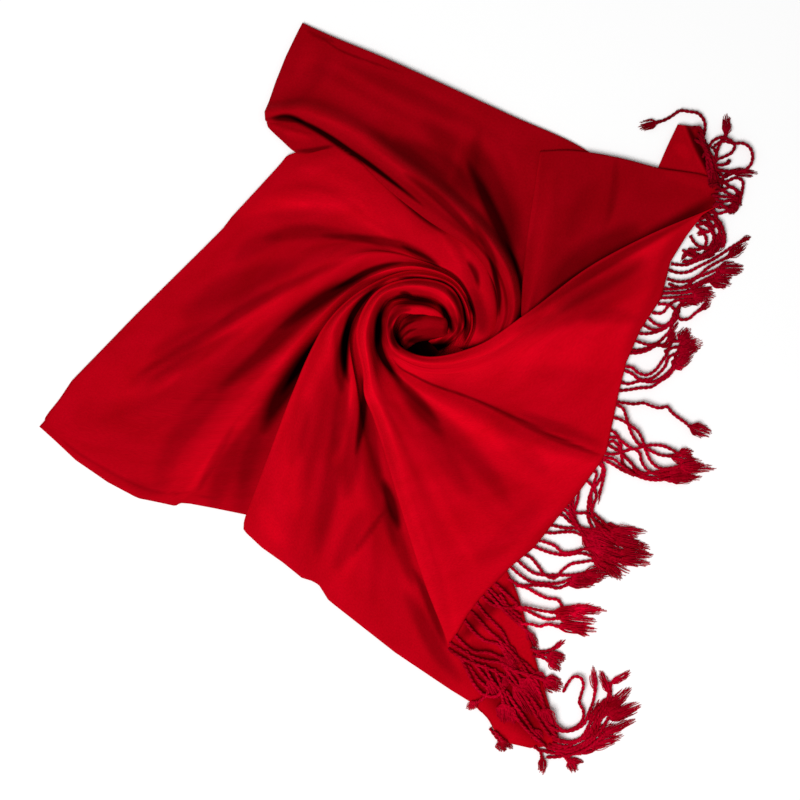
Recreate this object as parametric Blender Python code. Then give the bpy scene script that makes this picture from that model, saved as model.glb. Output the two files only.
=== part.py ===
"""A stole laid down flat and twisted in the middle into a rosette.

The cloth lies on a board. Places on it are given in millimetres, x to the right
of and y towards the viewer from the board's upper left corner, and heights in
millimetres above the board. The finished model is in metres, +Z up, with its
origin on the underside in the middle of its outline.

Each stretch of cloth that shows is one sheet. A table gives it as a row for each
fold that runs along it: where the fold passes, station by station, from the rim
of the cloth inwards, and how high it stands there. In the rosette the stations
are compass headings, and a row gives the fold's distance from the heart.
"""
import math
from collections import namedtuple

import bmesh
import bpy
import numpy as np
from mathutils import Vector

MM = 0.001

# The laid cloth
CLOTH_WALL = 1.6            # thickness of one stretch, as built
MIDDLE_OF_OUTLINE = (399.0, 400.0)
HEART = (414.0, 327.0)      # the middle of the rosette
SEAM_GAP = 0.3

# The layers underneath
HIDDEN_RIM = 1.2            # height at the outline
HIDDEN_STEP = 0.6           # height of one layer at the edge
HIDDEN_LEDGE = 5.0          # how far the upper layer stands back from the lower one
HIDDEN_CROWN = 4.4          # height under the rosette
CROWN_REACH = 120.0         # where the rise to the crown begins
CROWN_RINGS = (1.0, 0.8, 0.55, 0.35, 0.18, 0.07)    # rings over it, as shares of the outline's reach

# The fringe
FRINGE_HEIGHT = 4.0
FOOT_ON_CLOTH = 5.2         # where a bundle lies on the cloth instead of beside it

# Compass headings in the rosette, in degrees, from east (0) by north (90)
SOUTH_WEST, WEST, NORTH_WEST = 225, 180, 135
NORTH, NORTH_EAST, EAST = 90, 45, 0
EAST_SOUTH_EAST, SOUTH_EAST = -25, -45

# A fold: its places on the board, its distances from the heart at the stretch's
# headings, and its height at each place and heading.
Fold = namedtuple("Fold", "name run ring height")

LEFT_STRETCH_HEADINGS = (NORTH, NORTH_EAST, EAST, EAST_SOUTH_EAST)
LEFT_STRETCH = (
    Fold("under the back roll",
         ((300, 151), (332, 147), (352, 142), (376, 156), (398, 174)),
         (125, 107, 90, 81), (3.4, 3.6, 5, 6, 7, 8, 10, 8, 5)),
    Fold("lapped panel",
         ((268, 178), (308, 168), (340, 177), (370, 193), (394, 212)),
         (100, 86, 72, 66), (4.5, 7, 9, 11, 13, 15.5, 19, 21, 12)),
    Fold("lap edge",
         ((232, 217), (282, 200), (325, 205), (362, 219), (392, 238)),
         (72, 66, 61.5, 57), (4.5, 7, 9, 11.5, 14, 17, 20, 20, 11)),
    Fold("beside the lap",
         ((200, 252), (255, 232), (308, 226), (352, 232), (386, 246)),
         (70, 64.5, 60.5, 56), (4, 4.5, 5, 6, 8, 9, 10, 10, 9)),
    Fold("broad face",
         ((136, 315), (210, 300), (276, 268), (336, 246), (380, 250)),
         (69, 63.9, 60, 55.4), (3.6, 5, 6.5, 8, 9, 9, 10, 10, 9)),
    Fold("upper crest",
         ((72, 382), (165, 370), (245, 330), (318, 281), (372, 254)),
         (68, 63.3, 59.5, 54.8), (3.6, 8, 13, 16, 14, 10, 10.5, 10, 9)),
    Fold("upper trough",
         ((40, 427), (150, 410), (245, 348), (318, 299), (372, 268)),
         (65, 62.6, 59, 54.2), (3.4, 5, 7, 8.5, 10, 10.5, 11, 11, 9)),
    Fold("shoulder",
         ((105, 480), (180, 432), (250, 372), (316, 311), (369, 274)),
         (62, 61.7, 58.3, 53.6), (3.4, 6.5, 9, 12, 14, 14, 14, 13, 9)),
    Fold("lower crest",
         ((178, 504), (215, 445), (262, 387), (318, 320), (367, 280)),
         (59, 60.6, 57.5, 53), (4.5, 12, 16, 20, 22, 22, 20, 17, 9)),
    Fold("dark gap",
         ((214, 508), (240, 452), (275, 400), (319, 333), (366, 286)),
         (54.5, 58.7, 56.4, 52.4), (3.4, 4, 5, 7, 11, 12, 12, 11, 9)),
    Fold("under the lower stretch",
         ((253, 516), (280, 462), (303, 402), (331, 341), (374, 292)),
         (51.8, 57.3, 55.6, 51.8), (3.2, 3.4, 4, 5, 8, 9, 9, 9, 8)),
)

LOWER_STRETCH_HEADINGS = (WEST, NORTH_WEST, NORTH, NORTH_EAST, EAST, EAST_SOUTH_EAST)
LOWER_STRETCH = (
    Fold("left edge",
         ((244, 524), (270, 457), (293, 397), (316, 345)),
         (88, 58, 54, 58.5, 56.5, 51), (5.4, 8, 10, 12, 14, 17, 17, 16, 15, 10)),
    Fold("left crest",
         ((262, 548), (290, 475), (310, 408), (328, 354)),
         (79, 54.5, 50.5, 56, 54.5, 49.6), (7, 13, 18, 22, 25, 26, 25, 22, 18, 10)),
    Fold("soft trough",
         ((303, 577), (322, 500), (334, 430), (342, 372)),
         (70, 52.5, 48.5, 54.5, 53.3, 48.6), (5, 7, 10, 14, 17, 19, 18, 16, 13, 9)),
    Fold("hooked fold",
         ((330, 600), (348, 520), (354, 450), (355, 388)),
         (62.5, 51, 47.6, 53.6, 52.5, 47.8), (6, 9, 12, 16, 15, 15, 14, 13, 12, 9)),
    Fold("dark valley",
         ((395, 652), (390, 575), (382, 492), (366, 418)),
         (58.5, 49.5, 46.6, 52.8, 51.5, 47), (4.5, 5.5, 6, 7, 9, 10, 10, 10, 10, 8)),
    Fold("under the front's edge",
         ((450, 690), (436, 610), (412, 520), (384, 430)),
         (55, 47.5, 45, 51.5, 50, 46), (4.5, 4.5, 5, 6, 8, 9, 9, 9, 9, 8)),
    Fold("under the front",
         ((500, 738), (480, 650), (450, 560), (410, 450)),
         (51.5, 45.5, 43.5, 50, 48.5, 45), (4.5, 4.5, 4.5, 5.5, 7, 8, 8, 8, 8, 8)),
    Fold("right side",
         ((560, 741), (538, 668), (514, 585), (450, 480)),
         (48, 43.5, 42, 48.5, 47, 44), (4.5, 4.5, 4.5, 5, 7, 8, 8, 8, 8, 8)),
)

FRONT_STRETCH_HEADINGS = (SOUTH_WEST, WEST, NORTH_WEST, NORTH, NORTH_EAST, EAST, SOUTH_EAST)
FRONT_STRETCH = (
    Fold("upper edge and lip",
         ((716, 207), (650, 236), (590, 268), (524, 317), (474, 349), (414, 356)),
         (25, 22, 19, 13.5, 18, 33.5, 22),
         (6.5, 9, 15, 26, 28.5, 28, 25, 24, 24, 24, 22, 12, 8)),
    Fold("crest along the edge",
         ((704, 214), (648, 246), (590, 282), (526, 328), (476, 357), (414, 361)),
         (31, 27, 27, 21, 25, 34.3, 22.6),
         (8, 12, 20, 31, 33, 32, 30, 30, 30, 29, 27, 13, 8)),
    Fold("trough by the edge",
         ((672, 262), (630, 284), (580, 305), (526, 338), (477, 362), (413, 364.5)),
         (33, 28.5, 29, 23, 27, 34.9, 23.1),
         (5, 7, 14, 26, 30, 30, 28, 27, 27, 26, 24, 13, 8)),
    Fold("broad crest",
         ((640, 330), (602, 336), (560, 342), (518, 350), (474, 368), (412, 368)),
         (35, 30, 31, 25, 29, 35.4, 23.6),
         (6, 10, 16, 25, 30, 30, 26, 24, 24, 23, 21, 13, 8)),
    Fold("trough above the seam fold",
         ((617, 395), (582, 398), (542, 394), (500, 386), (460, 378), (411, 371)),
         (36.5, 31, 32.5, 26.5, 30, 35.8, 24),
         (4, 6.5, 11, 18, 24, 28, 24, 22, 22, 21, 19, 13, 8)),
    Fold("seam fold",
         ((606, 452), (560, 440), (515, 421), (480, 404), (445, 389), (409, 374)),
         (38, 32, 33.5, 27.5, 31, 36.2, 24.4),
         (4, 5.5, 9, 14, 20, 26, 22, 20, 20, 19, 17, 13, 8)),
    Fold("ridge",
         ((597, 465), (552, 455), (507, 438), (470, 419), (435, 401), (402, 378)),
         (42, 33.3, 34.5, 28.5, 32, 36.6, 24.8),
         (7, 10, 14, 19, 25, 29, 23, 17, 17, 17, 15, 12, 8)),
    Fold("valley",
         ((562, 513), (520, 490), (478, 460), (444, 432), (416, 404), (395, 381)),
         (47.5, 35.5, 36.5, 30, 33.5, 37.2, 25.5),
         (6.5, 7, 8, 11, 14, 17, 14, 12, 12, 12, 11, 11, 8)),
    Fold("broad face",
         ((512, 565), (482, 520), (452, 478), (427, 443), (404, 411), (388, 386)),
         (52, 39, 39, 33, 37, 38.7, 27.2),
         (7, 9, 11, 13, 16, 19, 18, 18, 18, 18, 17, 15, 9)),
    Fold("beside the left crest",
         ((478, 600), (452, 545), (428, 492), (409, 448), (392, 413), (380, 389)),
         (56, 43, 41.5, 36, 40.5, 40.5, 29.2),
         (7.5, 10, 13, 17, 21, 24, 25, 26, 26, 26, 25, 21, 12)),
    Fold("left crest",
         ((460, 626), (436, 567), (415, 505), (398, 452), (383, 412), (373, 388)),
         (62, 47, 44, 39.5, 44, 43, 31.5),
         (8.5, 12, 17, 22, 26, 28, 30, 32, 32, 31, 29, 25, 14)),
    Fold("left edge",
         ((450, 642), (427, 585), (406, 520), (389, 462), (375, 416), (366, 392)),
         (69, 55, 49, 45.5, 51, 47.5, 35),
         (6.8, 8.5, 11, 14, 17, 20, 21, 22, 22, 22, 21, 18, 10)),
)

BACK_STRETCH_HEADINGS = ()
BACK_STRETCH = (
    Fold("top edge",
         ((302, 25), (331, 38), (382, 59), (440, 85), (510, 117),
          (584, 151), (626, 182), (598, 250), (544, 318)),
         (), (3.6, 5, 6, 6, 5, 3.6, 3.4, 3.4, 5)),
    Fold("upper face",
         ((287, 54), (326, 58), (376, 78), (432, 106), (492, 141),
          (550, 187), (576, 225), (562, 270), (534, 324)),
         (), (4, 6, 7, 7, 7, 4.6, 4.4, 4.4, 6)),
    Fold("lower face",
         ((277, 80), (317, 81), (364, 98), (420, 130), (474, 168),
          (518, 214), (537, 256), (535, 298), (524, 334)),
         (), (4.5, 6.5, 8, 8, 8, 5.6, 6.5, 8, 8)),
    Fold("trough",
         ((270, 102), (308, 97), (353, 114), (405, 151), (458, 191),
          (500, 238), (519, 276), (523, 308), (512, 338)),
         (), (4.5, 5, 6, 6.5, 7, 8, 10, 11, 12)),
    Fold("roll's crest",
         ((265, 114), (303, 111), (346, 129), (396, 165), (447, 203),
          (491, 245), (509, 279), (513, 309), (502, 344)),
         (), (9, 11, 13, 16, 19, 23, 26, 25, 18)),
    Fold("roll's edge",
         ((266, 121), (300, 121), (340, 140), (390, 173), (440, 211),
          (483, 250), (502, 281), (507.5, 312), (495, 347)),
         (), (7, 7.4, 9, 12, 15, 18, 20, 20, 16)),
    Fold("second roll",
         ((266.6, 122), (300.6, 122), (341, 142), (388, 180), (433, 215),
          (480, 253), (499, 284), (503.5, 314), (491, 348)),
         (), (6.6, 7.2, 8.8, 12.6, 16, 20, 22.5, 22, 17)),
    Fold("second roll's edge",
         ((267.2, 123), (301.2, 123), (342, 144), (385, 186), (426, 219),
          (477, 256), (495, 287), (498, 316), (486, 349)),
         (), (6.4, 7, 8.6, 12, 15, 18.4, 19.5, 18.5, 15)),
)

UPPER_RIGHT_STRETCH_HEADINGS = ()
UPPER_RIGHT_STRETCH = (
    Fold("left edge",
         ((541, 152), (534, 198), (527, 245), (523, 288), (521, 317)),
         (), (7.2, 9, 11, 14.5, 18)),
    Fold("left crest",
         ((566, 151), (554, 197), (542, 243), (532, 290), (524, 322)),
         (), (7.2, 10, 14, 18, 20)),
    Fold("face",
         ((612, 157), (587, 205), (562, 252), (541, 297), (527, 327)),
         (), (6.5, 8, 11, 15, 17)),
    Fold("lower face",
         ((655, 168), (618, 214), (581, 259), (550, 302), (530, 331)),
         (), (6.5, 7.5, 9, 12, 15)),
    Fold("tip",
         ((718, 188), (656, 226), (597, 266), (556, 305), (532, 334)),
         (), (6, 6, 7.5, 11, 13)),
    Fold("under the front",
         ((714, 212), (657, 248), (600, 282), (560, 312), (535, 339)),
         (), (3.6, 4.6, 6.4, 9.5, 11)),
)

TURNED_CORNER_HEADINGS = ()
TURNED_CORNER = (
    Fold("left side", ((678, 125), (668, 146), (656, 174)), (), (4.2, 4, 3.4)),
    Fold("crease", ((681, 125.5), (687, 148), (692, 184)), (), (5.4, 4.8, 3.4)),
    Fold("right side", ((699, 127), (706, 152), (716, 186)), (), (4.2, 4, 3.4)),
)

BACK_LIP_HEADINGS = ()
BACK_LIP = (
    Fold("tucked under the roll",
         ((267, 120), (285, 117), (309, 123), (334, 135)),
         (), (3.4, 3.4, 3.6, 4)),
    Fold("middle",
         ((267, 124), (284, 129), (306, 136), (333, 141)),
         (), (4, 5, 6, 6)),
    Fold("free edge",
         ((268, 127), (281, 139), (298, 153), (333, 149.5)),
         (), (3.4, 4.2, 6.2, 6.6)),
)

ROSETTE_CORE_HEADINGS = ()
ROSETTE_CORE = (
    Fold("upper edge", ((403, 320), (414, 316), (429, 316), (438, 320)), (), (12, 12, 12, 11)),
    Fold("crest", ((402, 326), (414, 324.5), (430, 325), (444, 328)), (), (18, 24, 25, 19)),
    Fold("lower edge", ((404, 332), (415, 338), (430, 338), (442, 334.5)), (), (12, 12, 12, 12)),
)

# A stretch: its object name, its table, and into how many steps each interval
# between two folds (across) and between two stations (along) is divided.
Stretch = namedtuple("Stretch", "name folds headings across along shade")
STRETCHES = (
    Stretch("back_stretch", BACK_STRETCH, BACK_STRETCH_HEADINGS, 2, 2, 0.80),
    Stretch("back_lip", BACK_LIP, BACK_LIP_HEADINGS, 2, 2, 1.00),
    Stretch("left_stretch", LEFT_STRETCH, LEFT_STRETCH_HEADINGS, 2, 2, 0.92),
    Stretch("lower_stretch", LOWER_STRETCH, LOWER_STRETCH_HEADINGS, 2, 2, 1.00),
    Stretch("front_stretch", FRONT_STRETCH, FRONT_STRETCH_HEADINGS, 2, 2, 1.05),
    Stretch("upper_right_stretch", UPPER_RIGHT_STRETCH, UPPER_RIGHT_STRETCH_HEADINGS, 2, 2, 0.78),
    Stretch("turned_corner", TURNED_CORNER, TURNED_CORNER_HEADINGS, 2, 2, 0.85),
    Stretch("rosette_core", ROSETTE_CORE, ROSETTE_CORE_HEADINGS, 3, 3, 0.90),
)

# The outline of the hidden layers, a few millimetres inside the cloth's own
HIDDEN_OUTLINE = (
    (303, 35), (344, 52), (440, 92), (520, 128), (588, 160), (650, 176), (702, 190), (700, 206),
    (660, 262), (630, 330), (608, 392), (596, 452), (552, 514), (508, 566), (528, 652), (548, 733),
    (502, 728), (455, 682), (392, 640), (325, 584), (264, 534), (249, 508), (200, 496), (120, 476),
    (54, 426), (88, 374), (170, 292), (240, 219), (290, 164), (303, 146), (287, 112), (288, 68),
)

# The reach of each bundle of fringe: its outline on the board and the height it
# lies at
FringeReach = namedtuple("FringeReach", "name outline foot")
FRINGE_REACHES = (
    FringeReach("fringe_single_top",
                ((703, 123), (700, 110), (680, 108), (660, 119), (640, 117),
                 (634, 126), (645, 134), (664, 123), (682, 113), (696, 116)), SEAM_GAP),
    FringeReach("fringe_upper_spray",
                ((721, 186), (710, 156), (722, 140), (722, 115), (734, 115),
                 (752, 146), (758, 173), (744, 182), (745, 205), (728, 216)), SEAM_GAP),
    FringeReach("fringe_upper_hem",
                ((713, 217), (728, 226), (752, 235), (750, 266), (730, 290),
                 (666, 299), (680, 264)), SEAM_GAP),
    FringeReach("fringe_middle_hem",
                ((664, 303), (716, 294), (708, 312), (672, 330), (646, 334)), SEAM_GAP),
    FringeReach("fringe_middle_tassel",
                ((643, 339), (688, 327), (702, 342), (690, 366), (650, 388), (621, 393)), SEAM_GAP),
    FringeReach("fringe_single_middle",
                ((621, 399), (668, 403), (713, 428), (706, 441), (690, 434),
                 (662, 411), (620, 407)), SEAM_GAP),
    FringeReach("fringe_crossing",
                ((618, 412), (650, 440), (700, 446), (716, 468), (702, 480),
                 (650, 482), (609, 458)), SEAM_GAP),
    FringeReach("fringe_hanging",
                ((605, 464), (605, 520), (648, 530), (654, 560), (618, 584),
                 (580, 572), (520, 564), (566, 517)), SEAM_GAP),
    FringeReach("fringe_lower_pair",
                ((518, 570), (580, 576), (622, 588), (606, 612), (600, 634),
                 (570, 638), (534, 630)), SEAM_GAP),
    FringeReach("fringe_lower_tassel",
                ((549, 652), (567, 640), (566, 672), (555, 668)), SEAM_GAP),
    FringeReach("fringe_sweep",
                ((564, 742), (582, 712), (590, 664), (632, 664), (642, 705),
                 (620, 744), (578, 774), (542, 775), (542, 752)), SEAM_GAP),
    FringeReach("fringe_bottom_tassel",
                ((484, 729), (496, 740), (513, 745), (508, 752), (500, 750)), SEAM_GAP),
    FringeReach("fringe_on_lower_stretch",
                ((456, 646), (484, 602), (514, 570), (532, 655), (548, 730),
                 (504, 728), (468, 690)), FOOT_ON_CLOTH),
)

CRIMSON = (0.55, 0.004, 0.012)
FRINGE_RED = (0.36, 0.006, 0.03)
SHARPEST_SMOOTH = 50        # degrees between two faces, above which their edge shades sharp


def on_board(x, y, z=0.0):
    """A place on the board, in millimetres, as a point of the model, in metres."""
    return Vector(((x - MIDDLE_OF_OUTLINE[0]) * MM, (MIDDLE_OF_OUTLINE[1] - y) * MM, z * MM))


def around_heart(distance, heading):
    """The place on the board at a distance from the heart, along a compass heading."""
    turn = math.radians(heading)
    return HEART[0] + distance * math.cos(turn), HEART[1] - distance * math.sin(turn)


def stations_of(fold, headings):
    """All of a fold's stations, as rows of x, y and height, from the rim inwards."""
    places = list(fold.run) + [around_heart(r, h) for r, h in zip(fold.ring, headings)]
    return np.array([(x, y, z) for (x, y), z in zip(places, fold.height)])


def read_curve(knots, place):
    """Read a smooth curve through the knots at a place, 0 at the first knot.

    Its slope at a knot is the harmonic mean of the two steps beside it, and level
    where they point opposite ways, so a crest stays where its row puts it and the
    curve never runs past its neighbours.
    """
    last = len(knots) - 1
    start = min(int(place), last - 1)
    steps = np.diff(knots, axis=0)

    def slope(knot):
        if knot == 0:
            return steps[0]
        if knot == last:
            return steps[-1]
        before, after = steps[knot - 1], steps[knot]
        same_way = before * after > 0
        total = np.where(same_way, before + after, 1.0)
        return np.where(same_way, 2 * before * after / total, 0.0)

    t = place - start
    return ((2 * t**3 - 3 * t**2 + 1) * knots[start] + (t**3 - 2 * t**2 + t) * slope(start)
            + (3 * t**2 - 2 * t**3) * knots[start + 1] + (t**3 - t**2) * slope(start + 1))


def plain_material(name, colour, roughness):
    material = bpy.data.materials.new(name)
    material.use_nodes = True
    shader = material.node_tree.nodes["Principled BSDF"]
    shader.inputs["Base Color"].default_value = (*colour, 1.0)
    shader.inputs["Roughness"].default_value = roughness
    shader.inputs["Metallic"].default_value = 0.0
    return material


def add_object(name, mesh, collection, material):
    mesh.materials.append(material)
    piece = bpy.data.objects.new(name, mesh)
    collection.objects.link(piece)
    return piece


def give_wall(bm, thickness):
    """Give an open surface a wall by drawing it straight down."""
    below = bmesh.ops.extrude_face_region(bm, geom=bm.faces[:], use_keep_orig=True)
    lower = [item for item in below["geom"] if isinstance(item, bmesh.types.BMVert)]
    bmesh.ops.translate(bm, verts=lower, vec=(0, 0, -thickness))
    bmesh.ops.recalc_face_normals(bm, faces=bm.faces[:])


def add_stretch(stretch, collection):
    """Bend a flat grid through a stretch's folds, and give it its wall."""
    rows = [stations_of(fold, stretch.headings) for fold in stretch.folds]
    intervals_across = len(rows) - 1
    intervals_along = len(rows[0]) - 1
    bm = bmesh.new()
    bmesh.ops.create_grid(bm, x_segments=intervals_along * stretch.along,
                          y_segments=intervals_across * stretch.across, size=1.0)
    for vertex in bm.verts:
        along = (vertex.co.x + 1) / 2 * intervals_along
        across = (vertex.co.y + 1) / 2 * intervals_across
        section = np.array([read_curve(row, along) for row in rows])
        vertex.co = on_board(*read_curve(section, across))
    give_wall(bm, CLOTH_WALL * MM)
    mesh = bpy.data.meshes.new(stretch.name)
    bm.to_mesh(mesh)
    bm.free()
    mesh.shade_smooth()
    mesh.set_sharp_from_angle(angle=math.radians(SHARPEST_SMOOTH))
    colour = tuple(channel * stretch.shade for channel in CRIMSON)
    material = plain_material(stretch.name + "_cloth", colour, 0.55)
    return add_object(stretch.name, mesh, collection, material)


def crown(distance):
    """Height of the hidden layers at a distance from the heart."""
    rise = max(0.0, 1 - distance / CROWN_REACH)
    return HIDDEN_RIM + (HIDDEN_CROWN - HIDDEN_RIM) * rise * rise * (3 - 2 * rise)


def draw_on(bm, ring, place_of):
    """Extrude a ring of edges to new places, each found from its old one."""
    drawn = bmesh.ops.extrude_edge_only(bm, edges=ring)["geom"]
    for vertex in drawn:
        if isinstance(vertex, bmesh.types.BMVert):
            vertex.co = place_of(vertex.co)
    return [edge for edge in drawn if isinstance(edge, bmesh.types.BMEdge) and edge.is_boundary]


def add_hidden_layers(collection):
    """The layers underneath: flat below, stepped at the edge, crowned under the rosette."""
    heart = on_board(*HEART)

    def raised(place, height):
        return Vector((place.x, place.y, height * MM))

    def on_ledge(place):
        flat = raised(place, 0.0)
        return raised(flat + (heart - flat).normalized() * HIDDEN_LEDGE * MM, HIDDEN_STEP)

    def on_crown(place):
        return raised(place, crown((raised(place, 0.0) - heart).length / MM))

    bm = bmesh.new()
    underside = bm.faces.new([bm.verts.new(on_board(*place)) for place in HIDDEN_OUTLINE])
    ring = draw_on(bm, underside.edges[:], lambda place: raised(place, HIDDEN_STEP))
    ring = draw_on(bm, ring, on_ledge)
    ring = draw_on(bm, ring, on_crown)
    for outer, inner in zip(CROWN_RINGS, CROWN_RINGS[1:]):
        ring = draw_on(bm, ring, lambda place: on_crown(heart + (place - heart) * inner / outer))
    bmesh.ops.contextual_create(bm, geom=ring)
    bmesh.ops.recalc_face_normals(bm, faces=bm.faces[:])
    mesh = bpy.data.meshes.new("hidden_layers")
    bm.to_mesh(mesh)
    bm.free()
    return add_object("hidden_layers", mesh, collection, plain_material("hidden_cloth", CRIMSON, 0.6))


def add_fringe_reach(reach, collection, material):
    """The plain flat solid that a bundle of fringe reaches over."""
    curve = bpy.data.curves.new(reach.name, "CURVE")
    curve.dimensions = "2D"
    curve.fill_mode = "BOTH"
    curve.extrude = FRINGE_HEIGHT / 2 * MM
    spline = curve.splines.new("POLY")
    spline.points.add(len(reach.outline) - 1)
    for point, place in zip(spline.points, reach.outline):
        point.co = (*on_board(*place).xy, 0.0, 1.0)
    spline.use_cyclic_u = True
    piece = add_object(reach.name, curve, collection, material)
    piece.location.z = (reach.foot + FRINGE_HEIGHT / 2) * MM
    return piece


def main():
    for old in list(bpy.data.objects):
        bpy.data.objects.remove(old)
    stole = bpy.data.collections.new("stole")
    bpy.context.scene.collection.children.link(stole)
    add_hidden_layers(stole)
    for stretch in STRETCHES:
        add_stretch(stretch, stole)
    fringe = plain_material("fringe_yarn", FRINGE_RED, 0.7)
    for reach in FRINGE_REACHES:
        add_fringe_reach(reach, stole, fringe)


main()
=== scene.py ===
"""The looks of a red satin-faced stole, laid down flat and twisted into a rosette.

Places on the board the stole lies on are in millimetres, x to the right of and y
towards the viewer from the board's upper left corner, and heights in millimetres
above the board. The folds of each stretch of cloth are the ones the frame's solids
were made from, read more finely here, with the creases, rolled edges, weave and
twisted fringe that the solids leave out. Two stretches differ a little from their
solids: the lip runs on under the back roll, and the rosette's lobe is turned.

The tables are text: a place is "x,y", and what else a row holds follows a bar.
"""
import math
import random
from collections import namedtuple

import bmesh
import bpy
import numpy as np
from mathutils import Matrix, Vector
from mathutils.bvhtree import BVHTree


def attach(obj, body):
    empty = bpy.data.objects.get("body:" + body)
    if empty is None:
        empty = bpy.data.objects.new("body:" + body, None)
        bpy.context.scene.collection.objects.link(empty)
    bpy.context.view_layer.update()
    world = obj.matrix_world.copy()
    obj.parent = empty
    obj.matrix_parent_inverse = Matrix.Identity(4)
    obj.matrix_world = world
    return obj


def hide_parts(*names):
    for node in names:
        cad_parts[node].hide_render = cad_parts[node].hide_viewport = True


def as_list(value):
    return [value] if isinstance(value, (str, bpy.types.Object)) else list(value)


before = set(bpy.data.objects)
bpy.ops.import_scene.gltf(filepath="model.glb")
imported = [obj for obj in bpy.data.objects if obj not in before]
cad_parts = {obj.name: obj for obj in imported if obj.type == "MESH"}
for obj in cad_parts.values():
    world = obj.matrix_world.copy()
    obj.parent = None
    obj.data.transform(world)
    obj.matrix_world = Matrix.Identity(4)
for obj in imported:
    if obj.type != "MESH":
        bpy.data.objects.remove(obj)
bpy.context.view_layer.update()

MM = 0.001
MIDDLE_OF_OUTLINE = (399.0, 400.0)
HEART = (414.0, 327.0)      # the middle of the rosette
CLOTH_THICKNESS = 0.7       # a fine twill of wool and silk, felted a little

# Compass headings in the rosette, in degrees, from east (0) by north (90)
SOUTH_WEST, WEST, NORTH_WEST = 225, 180, 135
NORTH, NORTH_EAST, EAST = 90, 45, 0
EAST_SOUTH_EAST, SOUTH_EAST = -25, -45

# A fold: its places on the board, its distances from the heart at the stretch's
# headings, and its height at each place and heading.
Fold = namedtuple("Fold", "name run ring height")

LEFT_HEADINGS = (NORTH, NORTH_EAST, EAST, EAST_SOUTH_EAST)
LEFT_STRETCH = (
    Fold("under the back roll", "300,151 332,147 352,142 376,156 398,174",
         "125 107 90 81", "3.4 3.6 5 6 7 8 10 8 5"),
    Fold("lapped panel", "268,178 308,168 340,177 370,193 394,212",
         "100 86 72 66", "4.5 7 9 11 13 15.5 19 21 12"),
    Fold("lap edge", "232,217 282,200 325,205 362,219 392,238",
         "72 66 61.5 57", "4.5 7 9 11.5 14 17 20 20 11"),
    Fold("beside the lap", "200,252 255,232 308,226 352,232 386,246",
         "70 64.5 60.5 56", "4 4.5 5 6 8 9 10 10 9"),
    Fold("broad face", "136,315 210,300 276,268 336,246 380,250",
         "69 63.9 60 55.4", "3.6 5 6.5 8 9 9 10 10 9"),
    Fold("upper crest", "72,382 165,370 245,330 318,281 372,254",
         "68 63.3 59.5 54.8", "3.6 8 13 16 14 10 10.5 10 9"),
    Fold("upper trough", "40,427 150,410 245,348 318,299 372,268",
         "65 62.6 59 54.2", "3.4 5 7 8.5 10 10.5 11 11 9"),
    Fold("shoulder", "105,480 180,432 250,372 316,311 369,274",
         "62 61.7 58.3 53.6", "3.4 6.5 9 12 14 14 14 13 9"),
    Fold("lower crest", "178,504 215,445 262,387 318,320 367,280",
         "59 60.6 57.5 53", "4.5 12 16 20 22 22 20 17 9"),
    Fold("dark gap", "214,508 240,452 275,400 319,333 366,286",
         "54.5 58.7 56.4 52.4", "3.4 4 5 7 11 12 12 11 9"),
    Fold("under the lower stretch", "253,516 280,462 303,402 331,341 374,292",
         "51.8 57.3 55.6 51.8", "3.2 3.4 4 5 8 9 9 9 8"),
)

LOWER_HEADINGS = (WEST, NORTH_WEST, NORTH, NORTH_EAST, EAST, EAST_SOUTH_EAST)
LOWER_STRETCH = (
    Fold("left edge", "244,524 270,457 293,397 316,345",
         "88 58 54 58.5 56.5 51", "5.4 8 10 12 14 17 17 16 15 10"),
    Fold("left crest", "262,548 290,475 310,408 328,354",
         "79 54.5 50.5 56 54.5 49.6", "7 13 18 22 25 26 25 22 18 10"),
    Fold("soft trough", "303,577 322,500 334,430 342,372",
         "70 52.5 48.5 54.5 53.3 48.6", "5 7 10 14 17 19 18 16 13 9"),
    Fold("hooked fold", "330,600 348,520 354,450 355,388",
         "62.5 51 47.6 53.6 52.5 47.8", "6 9 12 16 15 15 14 13 12 9"),
    Fold("dark valley", "395,652 390,575 382,492 366,418",
         "58.5 49.5 46.6 52.8 51.5 47", "4.5 5.5 6 7 9 10 10 10 10 8"),
    Fold("under the front's edge", "450,690 436,610 412,520 384,430",
         "55 47.5 45 51.5 50 46", "4.5 4.5 5 6 8 9 9 9 9 8"),
    Fold("under the front", "500,738 480,650 450,560 410,450",
         "51.5 45.5 43.5 50 48.5 45", "4.5 4.5 4.5 5.5 7 8 8 8 8 8"),
    Fold("right side", "560,741 538,668 514,585 450,480",
         "48 43.5 42 48.5 47 44", "4.5 4.5 4.5 5 7 8 8 8 8 8"),
)

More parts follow.
